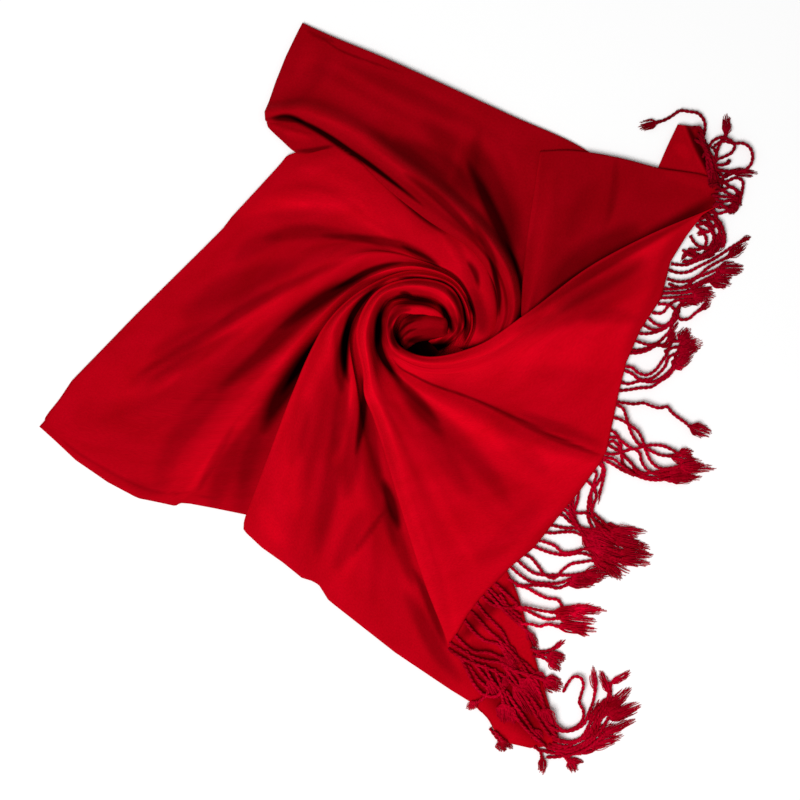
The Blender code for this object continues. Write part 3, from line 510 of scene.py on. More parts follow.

# A bundle of fringe: the solid it stands for, how bright its yarn is drawn (painted
# light and shade: lit and shaded copies of one yarn, the bundles near the top drawn
# darker and the lower pair brighter), and its cords: each one's places from its root
# to its knot, then the tip of its frayed tassel and how wide that spreads (no tip: the
# cord goes on under something else).
Bundle = namedtuple("Bundle", "node tone cords")
Cord = namedtuple("Cord", "places tip spread")
BUNDLES = (
    Bundle("fringe_single_top", 0.5, """
699,142 704,133 704,122 698,114 688,112 680,111 672,116 665,120 656,123 | 637,127 10
"""),
    Bundle("fringe_upper_spray", 0.5, """
708,168 714,160 717,150 721,141 726,134 | 727,113 9
702,158 708,148 713,141 720,138 728,140 734,146 731,153 724,157 716,160 | 705,168 5
714,146 722,142 733,144 743,144 749,148 752,156 750,165 745,170 736,172 | 722,175 6
706,172 714,170 722,171 731,172 | 759,174 8
712,178 716,166 724,165 728,163 | 730,159 4
708,186 720,184 728,181 736,178 742,181 742,190 740,198 737,205 | 733,213 5
712,182 722,182 730,187 738,192 740,201 734,206 | 724,211 6
710,196 720,197 730,198 737,203 735,209 | 728,214 5
712,206 720,208 728,207 733,211 | 737,209 4
690,129 698,128 702,137 703,144 708,152 710,163 711,174 | 716,184 6
694,140 702,146 706,157 707,168 709,178 | 712,190 6
700,130 701,141 705,150 712,158 715,168 714,180 | 718,188 6
712,147 716,154 714,163 718,172 724,178 | 729,173 5
715,186 722,190 730,187 737,192 | 741,199 5
714,192 722,191 729,195 736,198 | 741,207 6
714,199 722,202 730,201 736,206 | 732,213 6
713,205 719,204 727,209 | 736,213 6
704,140 708,150 712,161 714,172 718,180 | 722,190 8
698,134 702,146 708,158 712,172 | 715,186 9
"""),
    Bundle("fringe_upper_hem", 0.65, """
706,214 714,221 719,231 721,243 716,251 706,256 696,255 | 687,250 5
696,225 703,233 706,241 703,248 695,250 688,250 | 680,262 4
704,216 711,226 714,237 713,247 706,254 | 697,261 5
712,216 719,222 723,232 724,243 | 716,253 6
682,262 690,261 698,257 708,252 716,246 | 725,237 6
671,264 678,265 686,265 694,262 704,258 | 716,252 6
668,270 678,273 688,272 698,267 708,262 720,255 732,247 742,241 | 752,236 5
667,279 678,282 688,281 698,276 706,269 716,263 728,257 | 748,243 9
664,289 676,289 686,286 695,279 706,274 718,269 | 745,269 13
662,293 676,293 688,291 699,285 709,281 | 732,284 12
668,284 680,288 692,286 702,281 713,276 | 733,276 12
698,222 707,224 713,233 716,243 712,252 | 704,259 5
700,219 708,218 716,222 720,230 717,238 | 712,246 5
696,226 702,224 709,229 713,238 710,247 | 703,254 5
708,212 718,214 725,212 731,210 | 737,211 4
690,236 695,244 702,248 711,247 719,241 | 727,233 6
712,210 716,218 714,227 708,232 702,231 | 697,236 5
682,250 690,256 700,257 710,251 | 720,243 6
"""),
    Bundle("fringe_middle_hem", 0.8, """
657,298 668,298 680,297 691,296 | 717,295 12
658,304 668,305 675,311 679,319 688,319 694,314 701,309 | 712,301 6
652,313 662,313 668,306 675,301 685,300 | 703,302 9
648,318 655,324 664,326 671,320 674,312 680,305 | 694,300 8
660,294 670,293 682,293 694,291 | 714,289 8
"""),
    Bundle("fringe_middle_tassel", 0.8, """
638,321 646,327 653,330 661,329 669,324 674,316 | 681,305 6
635,333 646,334 656,332 665,328 672,322 | 679,311 6
630,339 641,343 650,345 657,343 664,337 670,331 | 678,320 6
628,350 640,350 650,347 657,344 665,347 672,342 680,341 | 690,327 11
626,353 638,353 648,350 655,346 663,345 669,339 | 674,329 6
622,366 632,368 638,373 646,375 654,371 661,362 667,353 670,343 | 676,331 6
623,370 632,374 638,379 650,379 659,373 665,366 668,358 677,353 | 703,341 14
618,381 627,384 640,381 652,382 661,378 668,372 675,364 | 693,350 14
616,391 628,390 640,388 651,387 660,381 668,376 674,368 | 684,356 12
664,352 672,348 680,347 | 696,338 13
"""),
    Bundle("fringe_single_middle", 0.8, """
612,401 624,403 634,404 643,403 651,406 659,408 667,407 671,412 677,417 684,422 690,427 | 712,435 13
"""),
    Bundle("fringe_crossing", 1.0, """
614,404 622,408 626,418 629,428 633,437 640,445 652,445 663,446 672,450 679,454 | 694,452 8
612,417 621,420 629,425 637,431 642,440 646,452 651,462 659,468 670,468 678,466 | 704,463 12
608,429 616,434 620,443 621,454 623,464 630,471 | 644,477 4
606,437 617,438 625,444 633,449 643,447 651,451 660,455 671,456 | 697,461 11
604,443 613,448 621,453 628,460 634,467 642,473 654,472 666,470 677,469 | 717,468 9
602,453 614,454 625,451 634,449 639,453 641,461 646,469 656,474 668,473 | 698,473 12
602,457 613,459 622,466 632,473 643,478 655,480 668,479 | 703,478 9
604,448 612,441 618,446 622,455 630,462 637,472 648,477 662,477 | 692,476 10
602,459 612,464 624,471 634,475 | 648,480 2
"""),
    Bundle("fringe_hanging", 1.0, """
594,461 602,467 601,476 596,485 590,494 588,506 588,518 594,531 | 612,552 12
588,468 596,473 594,482 591,492 591,504 592,516 598,528 | 620,548 12
580,477 588,482 594,489 596,497 593,505 592,516 600,526 609,533 | 640,540 13
577,481 578,492 577,501 574,511 576,521 584,532 | 602,556 12
569,486 573,497 572,508 573,518 582,531 | 604,546 12
566,489 570,501 570,511 575,522 584,536 | 596,556 12
560,503 568,508 577,513 586,513 593,519 603,526 | 628,538 12
552,508 564,510 571,518 579,529 588,543 | 606,560 12
552,514 562,515 570,522 580,527 590,530 | 616,541 12
543,523 555,526 566,528 576,528 587,534 | 618,556 14
540,531 552,533 562,532 574,532 585,537 | 632,558 14
532,539 545,542 555,546 562,552 572,552 582,549 592,548 | 638,563 14
528,544 540,549 552,553 566,555 580,553 594,557 | 630,574 14
519,553 530,557 538,566 545,575 554,578 562,570 571,564 582,562 594,560 | 620,566 14
516,559 525,567 534,573 546,575 556,575 570,575 584,573 | 616,572 12
509,565 519,574 530,581 544,583 558,583 570,579 | 604,578 12
508,578 520,585 534,585 548,586 558,588 568,584 | 600,582 9
593,513 602,521 611,529 | 648,532 8
596,520 604,532 614,541 | 652,550 12
598,540 608,548 618,552 | 654,556 9
600,548 610,556 620,559 | 651,564 9
598,560 608,566 | 622,580 10
600,459 604,470 602,482 599,494 | 598,506 1.5
"""),
    Bundle("fringe_lower_pair", 1.4, """
516,585 527,588 536,593 547,598 558,600 563,607 570,609 | 607,611 9
512,606 526,607 540,610 553,612 | 592,607 9
514,607 526,610 536,615 547,619 559,618 | 598,622 11
520,623 532,624 539,626 547,624 558,626 | 599,631 10
556,616 566,614 | 594,604 7
560,624 570,626 | 590,636 8
"""),
    Bundle("fringe_lower_tassel", 1.0, """
530,648 538,651 546,651 554,648 | 566,639 5
534,652 542,654 548,654 | 566,660 13
532,655 542,657 549,661 | 561,671 9
"""),
    Bundle("fringe_sweep", 1.0, """
563,692 568,682 574,676 580,677 583,684 581,693 579,702 583,710 582,720 575,727 564,730 556,725 | 553,718 2
546,722 554,728 564,731 575,729 584,723 588,713 593,700 595,689 | 592,665 7
550,734 560,739 572,741 583,736 592,726 598,714 605,703 609,692 | 599,669 7
552,742 564,746 576,742 588,735 597,722 604,710 610,698 610,683 | 632,671 7
546,747 560,750 574,747 588,739 597,728 603,713 | 632,687 11
540,750 556,753 572,750 586,744 598,733 608,718 | 642,704 13
546,757 560,756 574,753 588,747 604,733 | 637,719 8
556,750 570,751 590,745 | 625,735 12
548,744 562,748 578,746 594,735 | 616,722 8
552,738 566,742 580,738 590,722 | 602,698 8
544,750 560,754 580,753 | 604,744 8
584,722 592,713 600,706 | 622,700 12
592,726 600,719 607,713 | 634,712 12
534,746 540,751 542,758 | 542,775 8
556,749 564,756 569,761 | 577,773 9
564,752 570,759 | 584,763 6
"""),
    Bundle("fringe_bottom_tassel", 1.0, """
490,728 495,735 500,741 | 505,752 11
494,730 502,739 | 513,749 6
"""),
    Bundle("fringe_on_lower_stretch", 1.0, """
449,642 460,649 472,656 486,660 500,662 511,668 520,678 | 540,706 13
448,648 461,657 475,663 489,668 503,675 514,685 | 534,716 13
454,634 464,644 474,651 488,652 500,657 | 520,676 11
476,602 484,613 493,622 502,632 508,645 | 518,668 9
470,610 480,621 490,632 500,641 506,652 | 516,672 9
464,620 474,632 484,640 498,644 506,655 | 514,678 10
486,590 496,602 506,612 517,622 528,632 | 538,650 8
482,596 492,604 504,607 514,607
494,582 504,592 512,599 518,605
488,587 500,600 510,612 522,622
460,656 467,670 474,684 484,694 496,695 504,686 | 508,668 7
494,668 500,683 505,697 512,710 522,724 534,736 546,746
503,664 512,677 521,690 530,705 540,722 550,736
508,668 522,672 536,676 545,680 | 563,689 15
468,664 478,679 488,690 482,698 475,702 | 466,710 7
506,690 514,703 524,717 532,729 | 548,748 11
498,676 504,692 509,706 | 514,724 11
520,684 530,696 538,708 | 552,728 12
500,594 508,606 520,616
466,650 478,668 488,680 | 498,700 9
512,655 524,662 534,672 | 548,690 12
530,700 542,716 552,730 560,742
484,664 492,680 500,690 503,702 | 505,724 13
500,640 512,652 522,664 528,676 | 538,698 13
520,668 532,680 540,694 544,708 | 554,734 12
"""),
)

EASED = 3                   # times a stretch's kinks are eased
MARK_STEPS = 6              # steps a crease or gap is read in between two places
GAP_FULL = 1.4              # a gap is at its full depth over its inner part
AROUND = 160                # how many times the heights around are averaged
LIGHT_PER_HEIGHT = 0.1      # share of light for each millimetre above what is around
LEAST_LIGHT, MOST_LIGHT = 0.3, 1.2
RIM_REACH = 26.0            # how far in from the rim the cloth is brought along
RUMPLE_LONG, RUMPLE_SHORT = 85.0, 24.0      # a chance rumple's usual length and width
ROLL_STEPS = 7
ROLL_TURN = 150             # degrees a rolled edge turns under

TWILL_SLANT = math.radians(35)
DRAWN_TWILL = 1.3e-3        # metres between the twill's ridges as drawn
WAVE_BANDS = 0.31           # metres between a wave texture's bands at scale 1

HIDDEN_EDGES = 3            # cloth edges drawn on the rim of the layers underneath
HIDDEN_FOOT, HIDDEN_RISE = 0.05, 0.38       # the lowest edge's foot, and from one to the next
# such an edge: steps inwards from the last ring, and heights above its foot
HIDDEN_PROFILE = ((0.4, 0), (-0.4, 0.17), (0.4, 0.34), (0.8, 0.36))
OUTLINE_STEPS = 8           # between two places of the outline
# the level top is drawn in by rings: the share each keeps of its distance from the heart
TOP_RINGS = (0.7, 0.6, 0.6, 0.6, 0.6, 0.5)

CORD_RADIUS = 1.9           # of the whole two-ply cord
PLY_RADIUS = 1.15
PLY_TURN = 10.0             # length of one full twist
ROUTE_STEPS = 400           # a cord's route is read this finely before it is paced out
CORD_STEP = 1.3
EDGE_STEPS = 5              # over which a cord eases itself down an edge
DROP = 16                   # how far from its root a cord has come down from the hem
CHANCE_RISE = 2.6           # the most a cord lies, by chance, above the board or the cloth
CORD_WAVE = 0.9             # and how much it rises and falls along its way
SETTLE = 10                 # how far from its root it has risen
KNOT_STEPS = 16
KNOT_RADIUS, KNOT_HALF_LENGTH, KNOT_YARN = 1.3, 1.4, 0.95
STRANDS = 3                 # for each millimetre of a tassel's spread
FEWEST_STRANDS = 4
STRAND_STEPS = 9
STRAND_RADIUS = 0.46

HIGH_ABOVE = 200            # well above all of the cloth
FRINGE_SEED = 100           # the first bundle's, counted on for the next

FLOOR_REACH, FLOOR_DROP = 6.0, 0.0002       # in metres, the drop being just clear of the cloth
LENS, SENSOR = 100, 36
PICTURE = 0.8               # metres of the board that the picture shows


def on_board(x, y, z=0.0):
    """A place on the board, in millimetres, as a point of the model, in metres."""
    return Vector(((x - MIDDLE_OF_OUTLINE[0]) * MM, (MIDDLE_OF_OUTLINE[1] - y) * MM, z * MM))


def around_heart(distance, heading):
    """The place on the board at a distance from the heart, along a compass heading."""
    turn = math.radians(heading)
    return HEART[0] + distance * math.cos(turn), HEART[1] - distance * math.sin(turn)


# Reading the tables

def numbers(text, between=None):
    return [float(number) for number in text.split(between)]


def places(text):
    return [numbers(place, ",") for place in text.split()]


def marks(table):
    """Each crease or gap of a table: its places, its width, and its height or depth."""
    for row in table.strip().splitlines():
        along, sizes = row.split("|")
        yield places(along), *numbers(sizes)


def cords_of(bundle):
    for row in bundle.cords.strip().splitlines():
        along, _, tassel = row.partition("|")
        tip, spread = tassel.split() or ("", 0)
        yield Cord(places(along), numbers(tip, ",") if tip else None, float(spread))


def stations_of(fold, headings):
    """All of a fold's stations, as rows of x, y and height, from the rim inwards."""
    run = places(fold.run) + [around_heart(r, h) for r, h in zip(numbers(fold.ring), headings)]
    return np.array([(x, y, z) for (x, y), z in zip(run, numbers(fold.height))])


def read_curve(knots, at):
    """Read a smooth curve through the knots at many places, 0 at the first knot.
    On the board it runs smoothly; its height never leaves its knots' heights."""
    steps = np.diff(knots, axis=0)
    apart = np.maximum(np.linalg.norm(steps[..., :2], axis=-1, keepdims=True), 1e-6)
    before, after = steps[:-1] / apart[:-1], steps[1:] / apart[1:]
    inner = (before * apart[1:] + after * apart[:-1]) / (apart[:-1] + apart[1:])
    if knots.shape[-1] == 3:
        old, new = before[..., 2], after[..., 2]
        total = np.where(old * new > 0, old + new, 1.0)
        inner[..., 2] = np.where(old * new > 0, 2 * old * new / total, 0.0)
    slopes = np.concatenate([steps[:1] / apart[:1], inner, steps[-1:] / apart[-1:]])
    start = np.minimum(at.astype(int), len(knots) - 2)
    t = (at - start).reshape((-1,) + (1,) * (knots.ndim - 1))
    leave, arrive = slopes[start] * apart[start], slopes[start + 1] * apart[start]
    return ((2 * t**3 - 3 * t**2 + 1) * knots[start] + (t**3 - 2 * t**2 + t) * leave
            + (3 * t**2 - 2 * t**3) * knots[start + 1] + (t**3 - t**2) * arrive)


# Cloth

def read_folds(stretch):
    """A stretch's surface as a net of places: rows across the folds, columns along them."""
    rows = np.array([stations_of(fold, stretch.headings) for fold in stretch.folds])
    along = np.linspace(0, len(rows[0]) - 1, (len(rows[0]) - 1) * stretch.along + 1)
    across = np.linspace(0, len(rows) - 1, (len(rows) - 1) * stretch.across + 1)
    lines = read_curve(rows.transpose(1, 0, 2), along).transpose(1, 0, 2)
    return read_curve(lines, across)


def soften(net, times):
    """Ease a net's kinks, across it and along it; its rim is eased only along itself."""
    for _ in range(times):
        net[1:-1] = net[1:-1] * 0.5 + (net[:-2] + net[2:]) * 0.25
        net[:, 1:-1] = net[:, 1:-1] * 0.5 + (net[:, :-2] + net[:, 2:]) * 0.25
    return net


def nearness(net, path, width):
    """How near each place of the net is to a crease or gap: 1 on its line, 0 past its
    width, and fading out towards both its ends."""
    path = np.array(path)
    fine = read_curve(path, np.linspace(0, len(path) - 1, (len(path) - 1) * MARK_STEPS + 1))
    lengths = np.hypot(*np.diff(fine, axis=0).T)
    reached = np.concatenate([[0], np.cumsum(lengths)]) / lengths.sum()
    best = np.full(net.shape[:2], 1e9)
    share = np.zeros(net.shape[:2])
    for a, b, start, end in zip(fine[:-1], fine[1:], reached[:-1], reached[1:]):
        t = np.clip(((net[..., :2] - a) @ (b - a)) / ((b - a) @ (b - a)), 0, 1)
        apart = np.hypot(*np.moveaxis(net[..., :2] - (a + t[..., None] * (b - a)), -1, 0))
        nearer = apart < best
        best = np.where(nearer, apart, best)
        share = np.where(nearer, start + t * (end - start), share)
    whole = np.sin(np.pi * np.clip(share, 0.001, 0.999)) ** 0.5
    side = np.clip(1 - (best / (width * (0.3 + 0.7 * whole))) ** 2, 0, 1) ** 2
    return side * whole


def light_left(net, gaps):
    """The share of light that still reaches each place of the net past its gaps."""
    light = np.ones(net.shape[:2])
    for path, width, depth in marks(gaps):
        light *= 1 - depth * np.minimum(1, GAP_FULL * nearness(net, path, width))
    return light


def light_on(net):
    """More light on the crests and less in the troughs, from the heights around."""
    around = soften(net[..., 2].copy(), AROUND)
    return np.clip(1 - LIGHT_PER_HEIGHT * (around - net[..., 2]), LEAST_LIGHT, MOST_LIGHT)


def fit_rim(net, stretch):
    """Bring the net's first column onto the rim, and what is near it along with it."""
    fold, x, y = np.array(places(stretch.rim)).T
    rows = np.arange(len(net)) / stretch.across
    shift = np.stack([np.interp(rows, fold, x), np.interp(rows, fold, y)], axis=1) - net[:, 0, :2]
    from_rim = np.linalg.norm(net[..., :2] - net[:, :1, :2], axis=2)
    fade = np.clip(1 - from_rim / RIM_REACH, 0, 1) ** 2
    net[..., :2] += shift[:, None] * fade[..., None]


def lengths_of(net):
    """Real lengths along and across the net, for its weave and its chance rumples."""
    along = np.linalg.norm(np.diff(net, axis=1), axis=2)
    across = np.linalg.norm(np.diff(net, axis=0), axis=2)
    u = np.concatenate([np.zeros((len(net), 1)), np.cumsum(along, axis=1)], axis=1)
    v = np.concatenate([np.zeros((1, net.shape[1])), np.cumsum(across, axis=0)], axis=0)
    return u, v


def chance_rumples(u, v, seed):
    """Soft chance ridges and troughs that run along the folds."""
    chance = np.random.RandomState(seed)
    columns = np.broadcast_to(u.mean(axis=0) / RUMPLE_LONG, u.shape)
    rows = np.broadcast_to(v.max(axis=1, keepdims=True) / RUMPLE_SHORT, v.shape)
    heights = chance.uniform(-1, 1, (int(rows.max()) + 2, int(columns.max()) + 2))
    c, r = columns.astype(int), rows.astype(int)
    s, t = columns - c, rows - r
    s, t = s * s * (3 - 2 * s), t * t * (3 - 2 * t)
    return ((heights[r, c] * (1 - s) + heights[r, c + 1] * s) * (1 - t)
            + (heights[r + 1, c] * (1 - s) + heights[r + 1, c + 1] * s) * t)


def roll_under(net, radius):
    """Rows that carry on from the net's first row, rolled under to a radius."""
    out = net[0] - net[2]
    out[:, 2] = 0
    out /= np.maximum(np.linalg.norm(out, axis=1, keepdims=True), 1e-6)
    rows = []
    for step in range(ROLL_STEPS, 0, -1):
        turn = math.radians(ROLL_TURN) * step / ROLL_STEPS
        row = net[0] + out * radius * math.sin(turn)
        row[:, 2] -= radius * (1 - math.cos(turn))
        rows.append(row)
    return np.array(rows)


def link_piece(name, mesh, material):
    """Make a finished mesh a piece of the scene, smooth and in one material."""
    mesh.shade_smooth()
    mesh.materials.clear()
    mesh.materials.append(material)
    piece = bpy.data.objects.new(name, mesh)
    bpy.context.scene.collection.objects.link(piece)
    return piece


def new_piece(name, bm, material):
    mesh = bpy.data.meshes.new(name)
    bm.to_mesh(mesh)
    bm.free()
    return link_piece(name, mesh, material)


def add_net(name, net, light, material):
    """Bend a flat grid to the net, with a map of the cloth's own threads, in metres,
    and the share of light that reaches it."""
    rows, columns = net.shape[:2]
    u, v = lengths_of(net)
    bm = bmesh.new()
    bmesh.ops.create_grid(bm, x_segments=columns - 1, y_segments=rows - 1, size=1.0)
    threads = bm.loops.layers.uv.new("threads")
    lit = bm.verts.layers.float.new("light_left")
    place = {}
    for vertex in bm.verts:
        column = round((vertex.co.x + 1) / 2 * (columns - 1))
        row = round((vertex.co.y + 1) / 2 * (rows - 1))
        place[vertex] = (u[row, column] * MM, v[row, column] * MM)
        vertex[lit] = light[row, column]
        vertex.co = on_board(*net[row, column])
    for face in bm.faces:
        for loop in face.loops:
            loop[threads].uv = place[loop.vert]
    bmesh.ops.recalc_face_normals(bm, faces=bm.faces[:])
    if sum(face.normal.z for face in bm.faces) < 0:
        bmesh.ops.reverse_faces(bm, faces=bm.faces[:])
    piece = new_piece(name, bm, material)
    shell = piece.modifiers.new("cloth thickness", "SOLIDIFY")
    shell.thickness = CLOTH_THICKNESS * MM
    shell.offset = -1
    return piece


def add_stretch(stretch, seed):
    net = soften(read_folds(stretch), EASED)
    if stretch.rim:
        fit_rim(net, stretch)
    u, v = lengths_of(net)
    lift = stretch.rumple * chance_rumples(u, v, seed)
    for path, width, height in marks(stretch.creases):
        lift += height * nearness(net, path, width)
    net[..., 2] += lift
    light = light_on(net)
    first, last = stretch.rolls
    parts = [net]
    if first:
        parts.insert(0, roll_under(net, first))
        light = np.concatenate([light[:1]] * ROLL_STEPS + [light])
    if last:
        parts.append(roll_under(net[::-1], last)[::-1])
        light = np.concatenate([light] + [light[-1:]] * ROLL_STEPS)
    net = np.concatenate(parts)
    net[..., 2] = np.maximum(net[..., 2], CLOTH_THICKNESS)
    # each stretch gets its own copy of the satin, drawn darker or lighter by its tone: painted shade and
    # sheen
    material = red_satin("red satin twill, " + stretch.node, stretch.tone)
    return add_net(stretch.node + "_satin", net, light * light_left(net, stretch.gaps), material)


# Materials

def srgb(code, tone=1.0):
    """A hex colour as linear light, at a tone."""
    channels = [int(code[i:i + 2], 16) / 255 for i in (1, 3, 5)]
    linear = [c / 12.92 if c <= 0.04045 else ((c + 0.055) / 1.055) ** 2.4 for c in channels]
    return (*[c * tone for c in linear], 1.0)


def set_up(tree, node, settings):
    """Set a node's properties and inputs: an input that is given an output is linked to it."""
    for key, value in settings.items():
        if isinstance(value, bpy.types.NodeSocket):
            tree.links.new(value, node.inputs[key])
        elif isinstance(key, int) or key in node.inputs:
            node.inputs[key].default_value = value
        else:
            setattr(node, key, value)


def add_node(tree, kind, output, settings):
    """Add a node, set it up, and give the output that is wanted of it."""
    node = tree.nodes.new("ShaderNode" + kind)
    set_up(tree, node, settings)
    return node.outputs[output]


def add_math(tree, operation, *values):
    return add_node(tree, "Math", "Value", {"operation": operation, **dict(enumerate(values))})


def new_material(name):
    material = bpy.data.materials.new(name)
    material.use_nodes = True
    return material, material.node_tree, material.node_tree.nodes["Principled BSDF"]


def red_satin(name, tone):
    """A satin-faced twill of wool and silk: deep red, soft, its floats catch light along them."""
    material, tree, shader = new_material(name)
    cloth = add_node(tree, "UVMap", "UV", {"uv_map": "threads"})
    blotch = add_node(tree, "TexNoise", "Fac",
                      {"Vector": cloth, "Scale": 22.0, "Detail": 3.0, "Roughness": 0.55})
    turned = add_node(tree, "Mapping", "Vector", {"Vector": cloth, "Rotation": (0, 0, TWILL_SLANT)})
    # a twill's ridges are 0.5 mm apart: too fine to show, so they are drawn coarser
    twill = add_node(tree, "TexWave", "Fac",
                     {"Vector": turned, "Scale": WAVE_BANDS / DRAWN_TWILL, "Distortion": 2.5,
                      "Detail": 2.0, "Detail Scale": 3.0})
    # loose fibres, too fine to show, are drawn 2 mm apart and patchy: an uneven nap
    flecks = add_node(tree, "TexNoise", "Fac",
                      {"Vector": cloth, "Scale": 480.0, "Detail": 3.0, "Roughness": 0.6})
    nap = add_math(tree, "MULTIPLY_ADD", flecks, 0.6, 0.7)
    # the tone draws this copy's whole colour darker or lighter: painted light and shade
    shade = add_node(tree, "Mix", "Result", {"data_type": "RGBA", "Factor": blotch,
                                             "A": srgb("#B8000C", tone), "B": srgb("#E2001E", tone)})
    # deep between the folds little light arrives: the colour and the sheen sink there
    lit = add_node(tree, "Attribute", "Fac", {"attribute_name": "light_left"})
    sunk = add_node(tree, "HueSaturation", "Color",
                    {"Color": shade, "Value": add_math(tree, "MULTIPLY", nap, lit)})
    bump = add_node(tree, "Bump", "Normal", {"Height": add_math(tree, "ADD", twill, flecks),
                                             "Strength": 0.25, "Distance": 0.0001})
    set_up(tree, shader, {
        "Base Color": sunk, "Metallic": 0.07, "Roughness": 0.66, "Normal": bump,
        "Specular IOR Level": add_math(tree, "MULTIPLY", lit, 0.24), "Specular Tint": srgb("#FF2034"),
        "Sheen Weight": add_math(tree, "MULTIPLY", lit, 0.14), "Sheen Roughness": 0.4,
        "Sheen Tint": srgb("#FF2038")})
    return material


def crimson_yarn(name, tone):
    """Two-ply yarn of wool and silk: crimson, matt, a little fuzzy."""
    material, tree, shader = new_material(name)
    place = add_node(tree, "TexCoord", "Object", {})
    # fibres are far too fine to show: their clumps are drawn 2 mm apart
    clumps = add_node(tree, "TexNoise", "Fac", {"Vector": place, "Scale": 500.0, "Detail": 3.0})
    drift = add_node(tree, "TexNoise", "Fac", {"Vector": place, "Scale": 45.0, "Detail": 2.0})
    spread = add_node(tree, "MapRange", "Result", {"Value": add_math(tree, "MULTIPLY", clumps, drift),
                                                   "From Min": 0.12, "From Max": 0.4})
    # the tone draws this copy's whole colour darker or lighter: painted light and shade
    shade = add_node(tree, "Mix", "Result", {"data_type": "RGBA", "Factor": spread,
                                             "A": srgb("#86000E", tone), "B": srgb("#C60028", tone)})
    bump = add_node(tree, "Bump", "Normal", {"Height": clumps, "Strength": 0.5, "Distance": 0.0003})
    set_up(tree, shader, {
        "Base Color": shade, "Roughness": 0.75, "Specular IOR Level": 0.15,
        "Specular Tint": srgb("#FF3050"), "Normal": bump})
    return material


# Fringe

def height_at(trees, x, y):
    """How high the cloth of these pieces is at a place on the board, 0 off the cloth."""
    above = on_board(x, y, HIGH_ABOVE)
    hits = [tree.ray_cast(above, Vector((0, 0, -1)))[0] for tree in trees]
    return max([hit.z / MM for hit in hits if hit] + [0.0])


def lay_cord(cord, under, hem, chance):
    """A cord's route: down from its root at the hem, then over and under its neighbours."""
    path = read_curve(np.array(cord.places), np.linspace(0, len(cord.places) - 1, ROUTE_STEPS))
    apart = np.hypot(*np.diff(path, axis=0).T)
    reached = np.concatenate([[0], np.cumsum(apart)])
    steps = np.arange(0, reached[-1], CORD_STEP)
    x = np.interp(steps, reached, path[:, 0])
    y = np.interp(steps, reached, path[:, 1])
    cloth = np.array([height_at(under, *place) for place in zip(x, y)])
    eased = np.ones(2 * EDGE_STEPS + 1) / (2 * EDGE_STEPS + 1)
    level = np.convolve(np.pad(cloth, EDGE_STEPS, mode="edge"), eased, "valid")
    floor = np.maximum(level, cloth) + CORD_RADIUS
    rise = (chance.uniform(0.0, CHANCE_RISE)
            + CORD_WAVE * np.sin(steps / chance.uniform(9, 14) + chance.uniform(0, 6)))
    root = max(height_at(hem, *cord.places[0]) - CLOTH_THICKNESS - CORD_RADIUS - floor[0], 0.0)
    drop = np.clip(1 - steps / DROP, 0, 1) ** 2 * root
    return np.stack([x, y, floor + np.maximum(rise, 0) * np.clip(steps / SETTLE, 0, 1) + drop], axis=1)


def add_strand(curve, route, radii):
    """One yarn, as a spline of the bundle's curve."""
    spline = curve.splines.new("POLY")
    spline.points.add(len(route) - 1)
    for point, place, radius in zip(spline.points, route, radii):
        point.co = (*on_board(*place), 1.0)
        point.radius = radius


def sides_of(route):
    """For each place of a route, the level direction to its side."""
    ahead = np.gradient(route[:, :2], axis=0)
    ahead /= np.maximum(np.linalg.norm(ahead, axis=1, keepdims=True), 1e-6)
    return np.stack([-ahead[:, 1], ahead[:, 0], np.zeros(len(route))], axis=1)


def add_twisted_cord(curve, route, chance):
    """Two plies, twisted round each other."""
    side = sides_of(route)
    turns = np.arange(len(route)) * CORD_STEP / PLY_TURN * 2 * np.pi + chance.uniform(0, 6)
    for ply in (0, np.pi):
        offset = side * np.cos(turns + ply)[:, None]
        offset[:, 2] = np.sin(turns + ply)
        add_strand(curve, route + offset * (CORD_RADIUS - PLY_RADIUS), [PLY_RADIUS] * len(route))


def add_knot(curve, at, heading, foot):
    """The overhand knot at a cord's end: one and a half tight turns."""
    side = np.array((-heading[1], heading[0], 0.0))
    turn = np.linspace(0, 3 * np.pi, KNOT_STEPS)
    round_it = side * np.cos(turn)[:, None] * KNOT_RADIUS
    round_it[:, 2] = np.sin(turn) * KNOT_RADIUS
    ahead = np.linspace(-KNOT_HALF_LENGTH, KNOT_HALF_LENGTH, KNOT_STEPS)
    route = at + round_it + np.outer(ahead, (*heading, 0.0))
    route[:, 2] = np.maximum(route[:, 2], foot)
    add_strand(curve, route, [KNOT_YARN] * KNOT_STEPS)


def add_tassel(curve, knot, cord, foot, chance):
    """The frayed end below the knot: loose crimped yarns that fan out."""
    reach = np.array((*cord.tip, foot)) - knot
    length = np.hypot(*reach[:2])
    heading = reach[:2] / max(length, 1e-6)
    side = np.array((-heading[1], heading[0], 0.0))
    count = max(FEWEST_STRANDS, round(STRANDS * cord.spread))
    t = np.linspace(0, 1, STRAND_STEPS)
    for strand in range(count):
        long = chance.uniform(0.72, 1.0)
        out = (strand + 0.5) / count * 2 - 1 + chance.uniform(-0.25, 0.25)
        long *= 1 - 0.25 * min(abs(out), 1.2) ** 2      # the outer ones are shorter
        crimp = chance.uniform(0.2, 0.7)
        wave = crimp * np.sin(t * chance.uniform(6, 14) + chance.uniform(0, 6)) * t
        fan = out * cord.spread / 2 * np.minimum(1, t * 2.6) ** 0.7
        route = knot + np.outer(t * long, reach) + np.outer(fan + wave, side)
        route[:, 2] = knot[2] * (1 - t) + foot * t + np.sin(t * np.pi) * chance.uniform(-0.5, 2.2)
        route[:, 2] = np.maximum(route[:, 2], foot)
        add_strand(curve, route, STRAND_RADIUS * np.linspace(1.3, 0.5, STRAND_STEPS))


